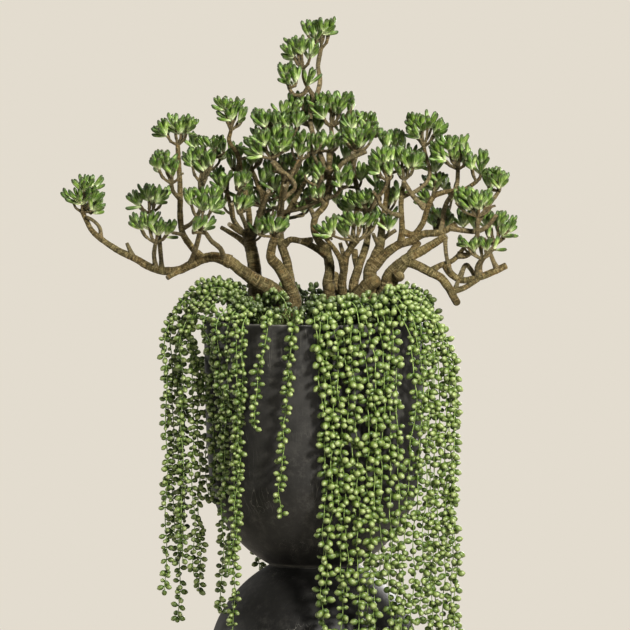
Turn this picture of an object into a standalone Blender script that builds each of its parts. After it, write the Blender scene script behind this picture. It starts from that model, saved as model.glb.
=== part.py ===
"""Potted crassula with string-of-pearls strands in a tall hourglass pot.

Metres, +Z up. The origin is the centre of the pot's foot on the floor, and the
front of the plant faces -Y.
"""

import math
import random

import bmesh
import bpy
import numpy as np
from mathutils import Vector

# Driving dimensions of the pot
RIM_RADIUS = 0.150
WAIST_RADIUS = 0.062
HALF_HEIGHT = 0.335
WALL = 0.008
RIM_ROLL = 0.0015
RIM_ROLL_DEPTH = 0.004
BOWL_FLOOR = 0.020
BASE_FLOOR = 0.009
NECK_RADIUS = 0.044
LATHE_SIDES = 28

# Soil, and the clearance between pieces that touch
SOIL_DROP = 0.014
SOIL_CLEARANCE = 0.0005
GAP = 0.0003

# Leaves of the crassula
LEAF_LENGTH = 0.025
LEAF_RADIUS = 0.0054
LEAF_BELLY = 0.68
LEAF_SPACE = 0.0056
LEAF_SHARES = (1.0, 0.8, 0.6)
ROW_ELEVATIONS = (0.22, 0.78)
TOP_ELEVATION = 1.25
SCATTER = 0.08
SHORTEST_LEAF = 0.86
LONGEST_LEAF = 1.06
CROWDING = 1.9
CROWDING_SHARES = (0.5, 0.68, 0.9)

# Clearance of leaves: a distance that never counts, the points tested along a leaf, how
# near a head's foot its own twig ends, and the least square length divided by
FAR = 9.0
SAMPLES = 6
OWN_TWIG = 0.002
TINY = 1e-12

# A head's core: its radius and height are what the leaves leave of the head
REACH_SHARE = 0.80
RISE_SHARE = 0.90
SMALLEST_CORE = 0.0045
LOWEST_CORE = 0.011
CORE_POINT = 0.002
# (height, radius) of the core's rings above the twig's tip, as shares of the two
CORE_LEVELS = [(0.42, 0.80), (0.72, 1.0), (1.0, 0.5)]
TWIG_TIP = 0.0022
SMALL_HEAD = 0.0205
WIDE_HEAD = 0.0314

# Pearls and the strings that carry them
PEARL_RADIUS = 0.0052
PEARL_HALF_LENGTH = 0.0044
STRING_RADIUS = 0.0010
PEARL_SPACING = 0.088
PEARL_SIDE_STEP = 0.0022
STAGGER = 0.012
ARCH_HEIGHT = 0.048
ARCH_SHOULDER = 0.029
RISE_REACH = 0.110
RISE_HEIGHT = 0.026
SHOULDER_IN = 0.012
LEAST_SHOULDER = 0.157
BELOW_RIM = 0.020
# How far round each point of the arch has turned towards the strand's own bearing
TURN_SHARES = (0.55, 0.95, 1.0)
CROWN_REACH = 0.096
CROWN_RADIUS = 0.0075
CROWN_SPREAD = 0.0052
CROWN_DEPTH = 0.012
CROWN_SIDES = 6
CROWN_ABOVE = 0.004
STRAND_FOOT = 0.001

# The front drawing: one unit is 1.364 mm, with u to the right and v downwards
UNIT = 0.001364
AXIS_U = 314.0
RIM_V = 319.4
VIEW_SLOPE = math.sin(math.radians(3.0))
MM = 0.001

RIM_HEIGHT = 2 * HALF_HEIGHT
SOIL_TOP = RIM_HEIGHT - SOIL_DROP

POT_BLACK = (0.020, 0.019, 0.018)
SOIL_BROWN = (0.045, 0.030, 0.020)
BARK_BROWN = (0.190, 0.118, 0.062)
LEAF_GREEN = (0.090, 0.190, 0.055)
PEARL_GREEN = (0.250, 0.400, 0.085)
POT_ROUGHNESS = 0.62
SOIL_ROUGHNESS = 0.95
BARK_ROUGHNESS = 0.85
LEAF_ROUGHNESS = 0.55
PEARL_ROUGHNESS = 0.45

# Edges sharper than this many degrees stay sharp in the shading
POT_CREASE = 40
BARK_CREASE = 50

# Outer outline of one half of the pot: radius and height above the waist, in mm
HALF_OUTLINE = [(76.5, 10), (103, 33), (118, 52), (131, 74), (141, 104), (144.6, 143)]
BOWL_INSIDE = [(136.6, 143), (131, 104), (110, 60), (78, 32)]
BASE_INSIDE = [(52, 12), (95, 40), (123, 76), (136.6, 143), (141, 326)]

# Rootstocks: u and depth in mm of the centre, then the radius in mm
ROOT_LEFT = (288, -10, 15)
ROOT_RIGHT = (357, 5, 22)
ROOT_DEPTH = 0.024
ROOT_ABOVE = 0.010
ROOT_SIDES = 8
ROOTSTOCK_V = 312

# A limb: sides, first and last radius in units, depth of its end in mm, its points as
# (u, v), and the head on its end as (name, left u, right u, top v) or None. One that
# starts below ROOTSTOCK_V rises from the rootstock, and any other starts at the nearest
# limb laid before it.
LEFT_LIMBS = [
    (6, 8.5, 4.4, -35, [(288, 316), (284, 300), (273, 290), (258, 282), (243, 271.5),
                        (231, 262)], None),
    (5, 4.3, 1.8, 5, [(231, 262), (212, 257), (203, 259), (193, 264), (179, 270),
                      (165, 271), (149.5, 266.7), (138, 260), (117, 249.5), (104, 241),
                      (91, 229), (86, 219), (82.5, 212)], ("far_left", 60, 106, 172)),
    (4, 2.4, 1.8, -38, [(181, 270), (168, 278)], None),
    (4, 1.8, 1.3, -10, [(134, 257.5), (127, 243)], None),
    (4, 1.8, 1.5, -25, [(156, 269.5), (154.5, 255), (156, 243)], ("left_low", 128, 180, 209)),
    (4, 1.8, 1.5, 35, [(162, 271), (160, 246), (158, 230), (149.5, 213)],
     ("left_middle", 122, 171, 181)),
    (4, 2.8, 1.7, -5, [(203, 259), (191, 246), (183, 233), (180.6, 215), (180.6, 197),
                       (178, 145)], ("left_upper", 151, 199, 112)),
    (4, 1.6, 1.4, -45, [(181, 199), (174, 192), (172, 184)], ("left_inner", 148, 182, 148)),
    (4, 1.4, 1.1, -40, [(182, 236), (173, 233)], None),
    (4, 1.6, 1.4, 20, [(181, 229), (191, 224), (199, 213), (199.5, 181)],
     ("left_centre", 180, 216, 144)),
    (4, 1.4, 1.2, 55, [(200, 198), (210, 158)], ("left_behind", 195, 226, 132)),
    (4, 2.0, 1.6, -70, [(189, 262), (197, 246), (203, 222)], ("left_front", 183, 226, 184)),
    (4, 2.2, 1.6, -104, [(225, 261), (221, 249), (212, 241), (207, 234)],
     ("left_front_low", 195, 220, 215)),
    (6, 8.0, 5.0, 15, [(288, 318), (270, 311), (259, 300), (255, 283), (254, 265),
                       (249.5, 240)], None),
    (4, 2.8, 1.5, 45, [(250, 248), (239, 238), (221, 227)], None),
    (4, 2.4, 1.5, -10, [(249.5, 240), (233, 218), (231, 207), (227, 192)],
     ("middle_left", 207, 233, 170)),
    (4, 1.6, 1.4, -34, [(231, 206), (237, 198), (240, 192)], ("middle_left_inner", 233, 253, 167)),
    (4, 2.6, 1.8, 40, [(250, 242), (259, 222), (263, 208), (256, 180), (251, 169)],
     ("middle_behind", 246, 264, 147)),
    (4, 1.8, 1.5, 60, [(263, 206), (269, 190), (277, 140)], ("crown_left", 251, 306, 105)),
    (4, 2.0, 1.5, -40, [(249.5, 240), (246, 226), (241, 214)], ("middle_low", 233, 256, 191)),
    (4, 2.6, 1.5, 10, [(249.5, 240), (249, 215), (241, 172), (237, 153), (229, 140),
                       (231, 130)], ("upper_middle_left", 211, 249, 94)),
    (6, 7.0, 3.2, -40, [(290, 318), (293.5, 300), (287, 281), (278, 266), (271, 257),
                        (272.5, 246), (275, 237)], ("front_low_left", 258, 290, 217)),
    (5, 4.2, 2.2, 15, [(291, 290), (287, 262), (281, 242), (280.6, 209), (282, 196),
                       (285, 180)], None),
    (4, 1.8, 1.5, -35, [(285, 181), (281, 170), (271, 159)], ("crown_front_left", 242, 295, 121)),
    (4, 1.8, 1.5, -22, [(285, 180), (295, 172), (301, 160)], ("crown_front_inner", 292, 310, 128)),
    (4, 1.6, 1.3, -48, [(281, 213), (290, 211), (304, 208), (320, 201)],
     ("centre_front_low", 306, 326, 184)),
    (4, 1.6, 1.2, 20, [(281, 210), (273, 207)], None),
    (4, 1.5, 1.3, 34, [(241, 178), (236, 170)], ("upper_behind_left", 226, 246, 142)),
    (4, 1.5, 1.3, 30, [(285, 184), (286, 173)], ("crown_low_inner", 277, 297, 149)),
]
RIGHT_LIMBS = [
    (6, 6.0, 3.6, -12, [(355, 318), (340, 309), (330, 297), (328, 284), (329.5, 270),
                        (327, 250)], None),
    (4, 2.0, 1.4, -35, [(327, 252), (318, 247), (308, 241.5), (300, 241)], None),
    (4, 3.0, 1.8, 8, [(327, 250), (319, 241), (314, 230), (316, 216), (325, 205),
                      (328, 192), (329, 151)], ("crown_inner", 321, 343, 130)),
    (4, 1.6, 1.4, -22, [(328, 172), (345, 162), (356, 152)], ("crown_front_right", 341, 377, 125)),
    (4, 1.5, 1.3, -22, [(328, 174), (318, 164), (313, 154)], ("crown_front_middle", 308, 326, 128)),
    (4, 1.5, 1.3, -16, [(325, 206), (320, 196), (318, 186)], ("centre_upper", 310, 325, 160)),
    (4, 1.5, 1.3, -25, [(328, 199), (336, 195), (341, 189)], ("centre_right", 331, 355, 162)),
    (4, 1.8, 1.5, 45, [(328.5, 165), (333, 145), (331, 126)], ("crown_top", 304, 355, 89)),
    (4, 2.2, 1.6, 80, [(328, 176), (319, 150), (311, 125), (311, 105), (318, 90),
                       (320, 78), (318, 66), (321, 47)], ("tip_upper", 301, 339, 14)),
    (4, 1.6, 1.3, 55, [(317, 98), (309, 88), (304, 78), (303.5, 67)], ("tip_left", 280, 321, 32)),
    (4, 1.5, 1.3, 50, [(308, 87), (301, 94), (293, 93), (289, 87)], ("tip_low", 276, 303, 59)),
    (4, 1.6, 1.4, 66, [(311, 128), (303, 118)], ("crown_middle", 285, 318, 88)),
    (5, 5.0, 2.0, -48, [(356, 317), (345, 303), (342, 285), (344, 269), (346, 257),
                        (351, 248), (357, 241)], ("front_low_right", 334, 380, 211)),
    (4, 2.0, 1.3, -30, [(345, 262), (340, 243)], None),
    (4, 2.4, 1.5, -60, [(343, 270), (338, 255), (331, 245), (326, 239)],
     ("front_low_middle", 312, 335, 223)),
    (4, 1.8, 1.4, 5, [(350, 249), (353, 232), (356, 210)], ("centre_right_low", 340, 370, 188)),
    (5, 5.0, 2.0, 34, [(357, 316), (354, 300), (354, 283), (358, 269), (366, 246),
                       (370, 222)], None),
    (4, 1.8, 1.3, 62, [(370, 222), (358, 187), (354, 172), (364, 134)],
     ("crown_right", 351, 377, 108)),
    (4, 1.5, 1.3, 12, [(370, 224), (368, 212)], ("right_behind_low", 358, 378, 185)),
    (6, 9.0, 2.6, 15, [(359, 317), (368, 303), (371, 285), (370, 273), (376, 256),
                       (380, 246), (382, 226)], None),
    (4, 2.4, 1.5, 55, [(382, 228), (388, 185), (390, 150)], ("right_behind", 375, 404, 126)),
    (5, 6.5, 5.0, 8, [(371, 284), (379, 280)], None),
    (4, 1.8, 1.3, -5, [(380, 248), (373, 234)], None),
    (4, 1.8, 1.3, 10, [(382, 240), (396, 230)], None),
    (5, 4.2, 2.4, -15, [(373, 267), (389, 251), (400, 244), (411, 241), (421, 235),
                        (441.5, 232), (456, 224)], None),
    (4, 2.2, 1.5, 20, [(450, 228), (466, 231), (476, 231.5), (485, 228), (496, 215)], None),
    (4, 2.6, 1.7, -8, [(401, 244), (402, 230), (401, 202), (404, 180)],
     ("right_middle", 394, 426, 141)),
    (4, 1.8, 1.3, -38, [(401, 216), (389, 212), (378, 199), (385, 188), (387, 181)],
     ("right_front", 366, 396, 143)),
    (4, 1.4, 1.1, -40, [(378, 199), (373, 192)], None),
    (4, 2.4, 1.5, -20, [(402, 232), (414, 234), (421, 226), (428, 207), (433, 197),
                        (442, 193), (467, 188), (476, 182)], ("right_outer", 464, 489, 146)),
    (4, 1.5, 1.2, 15, [(426, 210), (411.6, 193)], None),
    (4, 1.5, 1.3, 25, [(403, 197), (416, 191), (428, 180), (424, 146)],
     ("right_upper", 404, 450, 107)),
    (4, 1.4, 1.2, 50, [(432, 199), (434, 192)], ("right_inner", 419, 450, 169)),
    (4, 2.0, 1.5, 5, [(441, 232), (446, 204), (456.5, 186), (458, 169)],
     ("right_upper_outer", 426, 471, 133)),
    (4, 1.6, 1.4, 45, [(430, 233), (438, 229)], ("right_low_behind", 426, 454, 204)),
    (6, 7.5, 2.6, -30, [(360, 315), (377, 307), (386, 287), (389, 276), (396, 267.5),
                        (405, 260), (425, 249), (446, 236)], None),
    (5, 5.0, 4.0, -14, [(396, 268), (400, 276)], None),
    (4, 1.5, 1.2, -20, [(411, 257), (417, 243)], None),
    (5, 4.0, 3.2, -35, [(404, 261), (416, 265), (434, 274.6), (440, 277.5), (446, 284.5),
                        (456, 302)], None),
    (4, 2.4, 1.5, -30, [(430, 272), (437, 267), (453, 260), (465, 246)], None),
    (4, 2.2, 1.5, -45, [(457, 255), (465.5, 255.5), (474.6, 243), (477, 217)],
     ("right_outer_low", 453, 495, 185)),
    (4, 1.5, 1.3, 5, [(477, 224), (491, 202), (499, 191)], ("right_edge", 483, 510, 165)),
    (4, 2.9, 2.6, -5, [(446, 265), (449, 272), (461, 280), (479, 277), (497, 270),
                       (506, 265.5)], None),
    (4, 1.6, 1.4, -32, [(445, 238), (446, 256), (450, 272)], None),
    (4, 1.6, 1.4, -20, [(452, 290), (461, 289), (478, 279)], None),
    (4, 1.8, 1.4, 0, [(480, 276), (480, 265), (490, 250.5), (497, 243)],
     ("right_edge_low", 488, 518, 207)),
    (4, 1.5, 1.3, -42, [(476, 278), (477, 265), (481, 259)], ("right_low", 456, 506, 235)),
]

# Bunches of pearls: name, then each strand as (bearing in degrees from the front
# towards +X, reach in mm from the axis, v of its end)
PEARL_BUNCHES = [
    ("pearls_left_outer", [(-84, 213, 500), (-78, 205, 592), (-72, 199, 618), (-66, 192, 470),
                           (-61, 186, 540)]),
    ("pearls_left_inner", [(-54, 181, 590), (-48, 174, 612), (-43, 171, 560), (-38, 168, 640),
                           (-33, 167, 500)]),
    ("pearls_front", [(-26, 166, 430), (-15, 166, 513)]),
    ("pearls_right_front", [(1, 166, 600), (7, 170, 640), (13, 166, 690), (19, 172, 590),
                            (26, 168, 740), (33, 176, 650), (39, 170, 700)]),
    ("pearls_right_outer", [(47, 174, 735), (53, 182, 660), (59, 178, 720), (65, 188, 600),
                            (72, 190, 725), (79, 198, 640), (85, 203, 700)]),
    ("pearls_behind_right", [(99, 182, 560), (112, 172, 650), (125, 176, 480), (138, 170, 600),
                             (150, 172, 690)]),
    ("pearls_behind_left", [(178, 172, 520), (192, 170, 620), (206, 172, 575), (220, 172, 640),
                            (234, 178, 500), (248, 190, 560)]),
]


def clear_scene():
    """Remove every object that the scene starts with."""
    for old in list(bpy.data.objects):
        bpy.data.objects.remove(old, do_unlink=True)


def make_material(name, colour, roughness):
    """One plain non-metallic Principled material."""
    made = bpy.data.materials.new(name)
    made.use_nodes = True
    shader = made.node_tree.nodes["Principled BSDF"]
    shader.inputs["Base Color"].default_value = (*colour, 1.0)
    shader.inputs["Roughness"].default_value = roughness
    shader.inputs["Metallic"].default_value = 0.0
    return made


def drawn(u, v, depth):
    """A point of the front drawing, depth behind the pot's axis, in metres."""
    height = RIM_HEIGHT + (RIM_V - v) * UNIT - depth * VIEW_SLOPE
    return Vector(((u - AXIS_U) * UNIT, depth, height))


def object_of(name, vertices, faces, material=None):
    """An object made of the given vertices and faces."""
    mesh = bpy.data.meshes.new(name)
    mesh.from_pydata([tuple(v) for v in vertices], [], faces)
    mesh.update()
    if material:
        mesh.materials.append(material)
    made = bpy.data.objects.new(name, mesh)
    bpy.context.scene.collection.objects.link(made)
    return made


def shade_round(made, degrees):
    """Shade smooth, keeping edges sharper than the angle."""
    made.data.shade_smooth()
    made.data.set_sharp_from_angle(angle=math.radians(degrees))


def turned(name, profile, material):
    """Turn a closed profile of (radius, height) about Z; a zero radius is one point."""
    vertices = []
    rows = []
    for radius, height in profile:
        if radius == 0:
            rows.append([len(vertices)] * LATHE_SIDES)
            vertices.append((0, 0, height))
            continue
        rows.append(list(range(len(vertices), len(vertices) + LATHE_SIDES)))
        for k in range(LATHE_SIDES):
            angle = 2 * math.pi * k / LATHE_SIDES
            vertices.append((radius * math.cos(angle), radius * math.sin(angle), height))
    faces = []
    closed = profile[0][0] > 0 and profile[-1][0] > 0
    count = len(rows)
    for i in range(count if closed else count - 1):
        low, high = rows[i], rows[(i + 1) % count]
        for k in range(LATHE_SIDES):
            n = (k + 1) % LATHE_SIDES
            corners = [low[k], low[n], high[n], high[k]]
            face = [c for j, c in enumerate(corners) if c not in corners[:j]]
            faces.append(face)
    return object_of(name, vertices, faces, material)


def in_metres(outline, level, way):
    """Profile points in metres, measured up (way 1) or down (way -1) from a level."""
    return [(radius * MM, level + way * height * MM) for radius, height in outline]


def make_bowl(material):
    """The upper half of the pot: a deep round bowl with a slim rolled rim."""
    profile = [(0, HALF_HEIGHT + GAP)]
    profile.append((WAIST_RADIUS, HALF_HEIGHT + GAP))
    profile += in_metres(HALF_OUTLINE, HALF_HEIGHT, 1)
    profile.append((RIM_RADIUS, RIM_HEIGHT - RIM_ROLL_DEPTH))
    profile.append((RIM_RADIUS - RIM_ROLL, RIM_HEIGHT))
    profile.append((RIM_RADIUS - WALL + RIM_ROLL, RIM_HEIGHT))
    profile.append((RIM_RADIUS - WALL, RIM_HEIGHT - RIM_ROLL_DEPTH))
    profile += in_metres(BOWL_INSIDE, HALF_HEIGHT, 1)
    profile.append((0, HALF_HEIGHT + BOWL_FLOOR))
    made = turned("pot_bowl", profile, material)
    shade_round(made, POT_CREASE)
    return made


def make_base(material):
    """The lower half: the bowl's mirror image, with a neck and a closed floor."""
    profile = [(0, 0), (RIM_RADIUS - RIM_ROLL, 0), (RIM_RADIUS, RIM_ROLL_DEPTH)]
    profile += in_metres(reversed(HALF_OUTLINE), HALF_HEIGHT, -1)
    profile.append((WAIST_RADIUS, HALF_HEIGHT))
    profile.append((NECK_RADIUS, HALF_HEIGHT))
    profile += in_metres(BASE_INSIDE, HALF_HEIGHT, -1)
    profile.append((0, BASE_FLOOR))
    made = turned("pot_base", profile, material)
    shade_round(made, POT_CREASE)
    return made


def prism(name, centre, radius, sides, bottom, top):
    """An upright prism about a centre given as (x, y)."""
    vertices = []
    for height in (bottom, top):
        for k in range(sides):
            angle = 2 * math.pi * k / sides
            x = centre[0] + radius * math.cos(angle)
            y = centre[1] + radius * math.sin(angle)
            vertices.append((x, y, height))
    faces = [list(reversed(range(sides))), list(range(sides, 2 * sides))]
    for k in range(sides):
        n = (k + 1) % sides
        faces.append([k, n, sides + n, sides + k])
    return object_of(name, vertices, faces)


def apply_boolean(target, others, operation, solver="EXACT"):
    """Join or cut with a collection of objects, then remove them."""
    tools = bpy.data.collections.new("tools")
    for other in others:
        tools.objects.link(other)
    step = target.modifiers.new("step", "BOOLEAN")
    step.operation = operation
    step.operand_type = "COLLECTION"
    step.collection = tools
    step.solver = solver
    graph = bpy.context.evaluated_depsgraph_get()
    result = bpy.data.meshes.new_from_object(target.evaluated_get(graph))
    target.modifiers.clear()
    target.data = result
    for other in others:
        bpy.data.objects.remove(other, do_unlink=True)
    bpy.data.collections.remove(tools)
    return target


def keep_largest_body(made):
    """Drop loose scraps and the skins of sealed hollows."""
    grid = bmesh.new()
    grid.from_mesh(made.data)
    left = set(grid.verts)
    bodies = []
    while left:
        stack = [left.pop()]
        body = set(stack)
        while stack:
            for edge in stack.pop().link_edges:
                for vertex in edge.verts:
                    if vertex in left:
                        left.discard(vertex)
                        body.add(vertex)
                        stack.append(vertex)
        bodies.append(body)
    bodies.sort(key=len)
    spare = [vertex for body in bodies[:-1] for vertex in body]
    bmesh.ops.delete(grid, geom=spare, context="VERTS")
    grid.to_mesh(made.data)
    grid.free()


def make_soil(material, holes):
    """Soil that fills the bowl, with a plain hole for each rootstock and crown."""
    inside = in_metres(BOWL_INSIDE, HALF_HEIGHT, 1)
    top_radius, top_height = RIM_RADIUS - WALL, RIM_HEIGHT - RIM_ROLL_DEPTH
    share = (SOIL_TOP - inside[0][1]) / (top_height - inside[0][1])
    widest = inside[0][0] + share * (top_radius - inside[0][0]) - SOIL_CLEARANCE
    profile = [(0, HALF_HEIGHT + BOWL_FLOOR + SOIL_CLEARANCE)]
    for radius, height in reversed(inside):
        profile.append((radius - SOIL_CLEARANCE, height + GAP))
    profile += [(widest, SOIL_TOP), (0, SOIL_TOP)]
    soil = turned("soil", profile, material)
    cutters = []
    for centre, radius, sides, depth in holes:
        wide = radius + GAP / math.cos(math.pi / sides)
        cutters.append(prism("hole", centre, wide, sides, SOIL_TOP - depth - GAP, RIM_HEIGHT))
    apply_boolean(soil, cutters, "DIFFERENCE")
    return soil


def path_frames(points):
    """Two directions across each point of a path, carried along without twist."""
    count = len(points)
    along = []
    for i in range(count):
        ahead = points[min(i + 1, count - 1)] - points[max(i - 1, 0)]
        along.append(ahead.normalized())
    start = Vector((0, 1, 0)) if abs(along[0].y) < 0.9 else Vector((1, 0, 0))
    side = (start - along[0] * start.dot(along[0])).normalized()
    frames = []
    for way in along:
        side = (side - way * side.dot(way)).normalized()
        frames.append((side, way.cross(side)))
    return frames


def tube(name, points, radii, sides, shifts=None):
    """A closed tube of rings along a path; each ring may stand to one side of it."""
    vertices = []
    frames = path_frames(points)
    for i, (point, radius) in enumerate(zip(points, radii)):
        side, other = frames[i]
        centre = point + side * (shifts[i] if shifts else 0.0)
        for k in range(sides):
            angle = 2 * math.pi * k / sides
            vertices.append(centre + radius * (math.cos(angle) * side + math.sin(angle) * other))
    faces = [list(reversed(range(sides)))]
    last = sides * (len(points) - 1)
    faces.append(list(range(last, last + sides)))
    for i in range(len(points) - 1):
        for k in range(sides):
            n = (k + 1) % sides
            low = sides * i
            high = low + sides
            faces.append([low + k, low + n, high + n, high + k])
    return object_of(name, vertices, faces)


def nearest_on(paths, u, v):
    """The point and depth of the nearest limb already laid, seen in the drawing."""
    best = None
    for path in paths:
        for (u0, v0, d0), (u1, v1, d1) in zip(path, path[1:]):
            du, dv = u1 - u0, v1 - v0
            t = ((u - u0) * du + (v - v0) * dv) / (du * du + dv * dv)
            t = min(1.0, max(0.0, t))
            away = math.hypot(u0 + t * du - u, v0 + t * dv - v)
            if best is None or away < best[0]:
                best = (away, u0 + t * du, v0 + t * dv, d0 + t * (d1 - d0))
    return best[1:]


def lay_limbs(limbs, root):
    """Each limb as its points in metres, its radii in metres and its sides."""
    laid = []
    paths = []
    for sides, first, last, end_depth, points, head in limbs:
        if points[0][1] < ROOTSTOCK_V:
            u0, v0, d0 = nearest_on(paths, *points[0])
        else:
            u0, v0, d0 = (*points[0], root[1])
        flat = [(u0, v0), *points[1:]]
        steps = [math.dist(a, b) for a, b in zip(flat, flat[1:])]
        total = sum(steps)
        path = []
        radii = []
        done = 0.0
        for i, (u, v) in enumerate(flat):
            share = done / total
            path.append((u, v, d0 + share * (end_depth - d0)))
            radii.append((first + share * (last - first)) * UNIT)
            done += steps[i] if i < len(steps) else 0.0
        paths.append(path)
        laid.append(([drawn(u, v, d * MM) for u, v, d in path], radii, sides, head))
    return laid


def make_stems(name, laid, root, material):
    """One plant's rootstock, trunks, limbs and twigs as one body."""
    centre = ((root[0] - AXIS_U) * UNIT, root[1] * MM)
    stems = prism(name, centre, root[2] * MM, ROOT_SIDES, SOIL_TOP - ROOT_DEPTH, SOIL_TOP + ROOT_ABOVE)
    tubes = [tube("limb", points, radii, sides) for points, radii, sides, _ in laid]
    apply_boolean(stems, tubes, "UNION")
    keep_largest_body(stems)
    stems.data.materials.clear()
    stems.data.materials.append(material)
    shade_round(stems, BARK_CREASE)
    return stems


class Clearance:
    """Capsules already placed, for keeping leaves out of other pieces."""

    def __init__(self):
        self.starts = []
        self.ends = []
        self.radii = []
        self.owners = []

    def add(self, start, end, radius, owner):
        self.starts.append(tuple(start))
        self.ends.append(tuple(end))
        self.radii.append(radius)
        self.owners.append(owner)

    def room(self, start, end, owner, foot):
        """The least distance from a segment to other owners' skins, its own twig left out."""
        first = np.array(self.starts)
        along = np.array(self.ends) - first
        size = np.maximum((along * along).sum(axis=1), TINY)
        radii = np.array(self.radii)
        least = np.full(len(radii), FAR)
        for share in np.linspace(0.0, 1.0, SAMPLES):
            point = np.array(start.lerp(end, share))
            t = np.clip(((point - first) * along).sum(axis=1) / size, 0.0, 1.0)
            away = np.linalg.norm(first + along * t[:, None] - point, axis=1) - radii
            least = np.minimum(least, away)
        least[np.array(self.owners) == owner] = FAR
        from_foot = np.linalg.norm(np.array(self.ends) - np.array(foot), axis=1)
        least[from_foot < OWN_TWIG] = FAR
        return float(least.min())


def leaf_direction(azimuth, elevation, rng):
    """A unit direction with a little seeded scatter."""
    azimuth += rng.uniform(-SCATTER, SCATTER)
    elevation += rng.uniform(-SCATTER, SCATTER)
    level = math.cos(elevation)
    return Vector((level * math.cos(azimuth), level * math.sin(azimuth), math.sin(elevation)))


def add_leaf(vertices, faces, base, direction, length):
    """Draw a finger-shaped leaf out of a triangle of the core."""
    corners = [vertices[b] for b in base]
    centre = (corners[0] + corners[1] + corners[2]) / 3
    side = corners[0] - centre
    side = (side - direction * side.dot(direction)).normalized()
    other = direction.cross(side)
    belly = centre + direction * length * LEAF_BELLY
    ring = []
    for k in range(3):
        angle = 2 * math.pi * k / 3
        ring.append(len(vertices))
        vertices.append(belly + LEAF_RADIUS * (math.cos(angle) * side + math.sin(angle) * other))
    tip = len(vertices)
    vertices.append(centre + direction * length)
    for k in range(3):
        n = (k + 1) % 3
        faces.append([base[k], base[n], ring[n]])
        faces.append([base[k], ring[n], ring[k]])
        faces.append([ring[k], ring[n], tip])


def crowded(start, end, leaves):
    """Whether a leaf's outer half would run into a leaf of its own head."""
    for other_start, other_end in leaves:
        for share in CROWDING_SHARES:
            point = start.lerp(end, share)
            for other_share in CROWDING_SHARES:
                away = (point - other_start.lerp(other_end, other_share)).length
                if away < CROWDING * LEAF_RADIUS:
                    return True
    return False


def head_levels(foot, half_width, height, shift):
    """Centre, radius and height of each ring of a head's small core."""
    core = max(half_width - REACH_SHARE * LEAF_LENGTH, SMALLEST_CORE)
    top = max(height - RISE_SHARE * LEAF_LENGTH, LOWEST_CORE)
    levels = [(foot, TWIG_TIP)]
    for up, wide in CORE_LEVELS:
        levels.append((foot + Vector((shift * up, 0, top * up)), core * wide))
    return levels


def head_core(levels, sides):
    """The core's corners and plain faces, and the triangles that leaves grow from."""
    vertices = []
    rings = []
    for i, (centre, radius) in enumerate(levels):
        rings.append(list(range(len(vertices), len(vertices) + sides)))
        for k in range(sides):
            angle = 2 * math.pi * (k + 0.5 * i) / sides
            vertices.append(centre + Vector((math.cos(angle), math.sin(angle), 0)) * radius)
    apex = len(vertices)
    vertices.append(levels[-1][0] + Vector((0, 0, CORE_POINT)))
    faces = [list(reversed(rings[0]))]
    grown = []
    for i, elevation in enumerate((None, *ROW_ELEVATIONS)):
        for k in range(sides):
            n = (k + 1) % sides
            lower = [rings[i][k], rings[i][n], rings[i + 1][k]]
            faces.append([rings[i][n], rings[i + 1][n], rings[i + 1][k]])
            if elevation is None:
                faces.append(lower)
            else:
                grown.append((lower, 2 * math.pi * (k + 0.5 + 0.5 * i) / sides, elevation))
    for k in range(sides):
        fan = [rings[-1][k], rings[-1][(k + 1) % sides], apex]
        if k % 2 or k == sides - 1:
            faces.append(fan)
        else:
            grown.append((fan, 2 * math.pi * (k + 2.0) / sides, TOP_ELEVATION))
    return vertices, faces, grown


def make_head(name, foot, half_width, height, shift, clearance, material, seed):
    """A tuft of finger leaves that stand out of one small core on a twig's end."""
    rng = random.Random(seed)
    sides = 5 if half_width < SMALL_HEAD else 6 if half_width < WIDE_HEAD else 7
    vertices, faces, grown = head_core(head_levels(foot, half_width, height, shift), sides)
    own = []
    for base, azimuth, elevation in grown:
        direction = leaf_direction(azimuth, elevation, rng)
        length = LEAF_LENGTH * rng.uniform(SHORTEST_LEAF, LONGEST_LEAF)
        centre = (vertices[base[0]] + vertices[base[1]] + vertices[base[2]]) / 3
        ends = [centre + direction * length * share for share in LEAF_SHARES]
        clear = [end for end in ends if not crowded(centre, end, own)]
        clear = [end for end in clear if clearance.room(centre, end, name, foot) > LEAF_SPACE]
        if clear:
            add_leaf(vertices, faces, base, direction, (clear[0] - centre).length)
            own.append((centre, clear[0]))
        else:
            faces.append(base)
    for start, end in own:
        clearance.add(start, end, LEAF_SPACE, name)
    return object_of(name, vertices, faces, material)


def strand_path(bearing, reach, end_v, crown_bearing, place):
    """Route of a strand: out of its crown, over the rim and straight down.

    The place, from -1 to 1, is where the strand leaves the crown.
    """
    end = RIM_HEIGHT + (RIM_V - end_v) * UNIT
    out = reach * MM
    stations = [(RISE_REACH, RIM_HEIGHT + RISE_HEIGHT, TURN_SHARES[0]),
                (0.5 * (CROWN_REACH + out), RIM_HEIGHT + ARCH_HEIGHT, TURN_SHARES[1]),
                (max(out - SHOULDER_IN, LEAST_SHOULDER), RIM_HEIGHT + ARCH_SHOULDER,
                 TURN_SHARES[2]),
                (out, RIM_HEIGHT - BELOW_RIM, TURN_SHARES[2]),
                (out, end, TURN_SHARES[2])]
    x, y = crown_centre(crown_bearing)
    across = math.radians(crown_bearing)
    spread = CROWN_SPREAD * place
    root = SOIL_TOP + STRAND_FOOT
    points = [Vector((x + spread * math.cos(across), y + spread * math.sin(across), root))]
    for radius, height, share in stations:
        angle = math.radians(crown_bearing + share * (bearing - crown_bearing))
        points.append(Vector((radius * math.sin(angle), -radius * math.cos(angle), height)))
    return points


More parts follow.
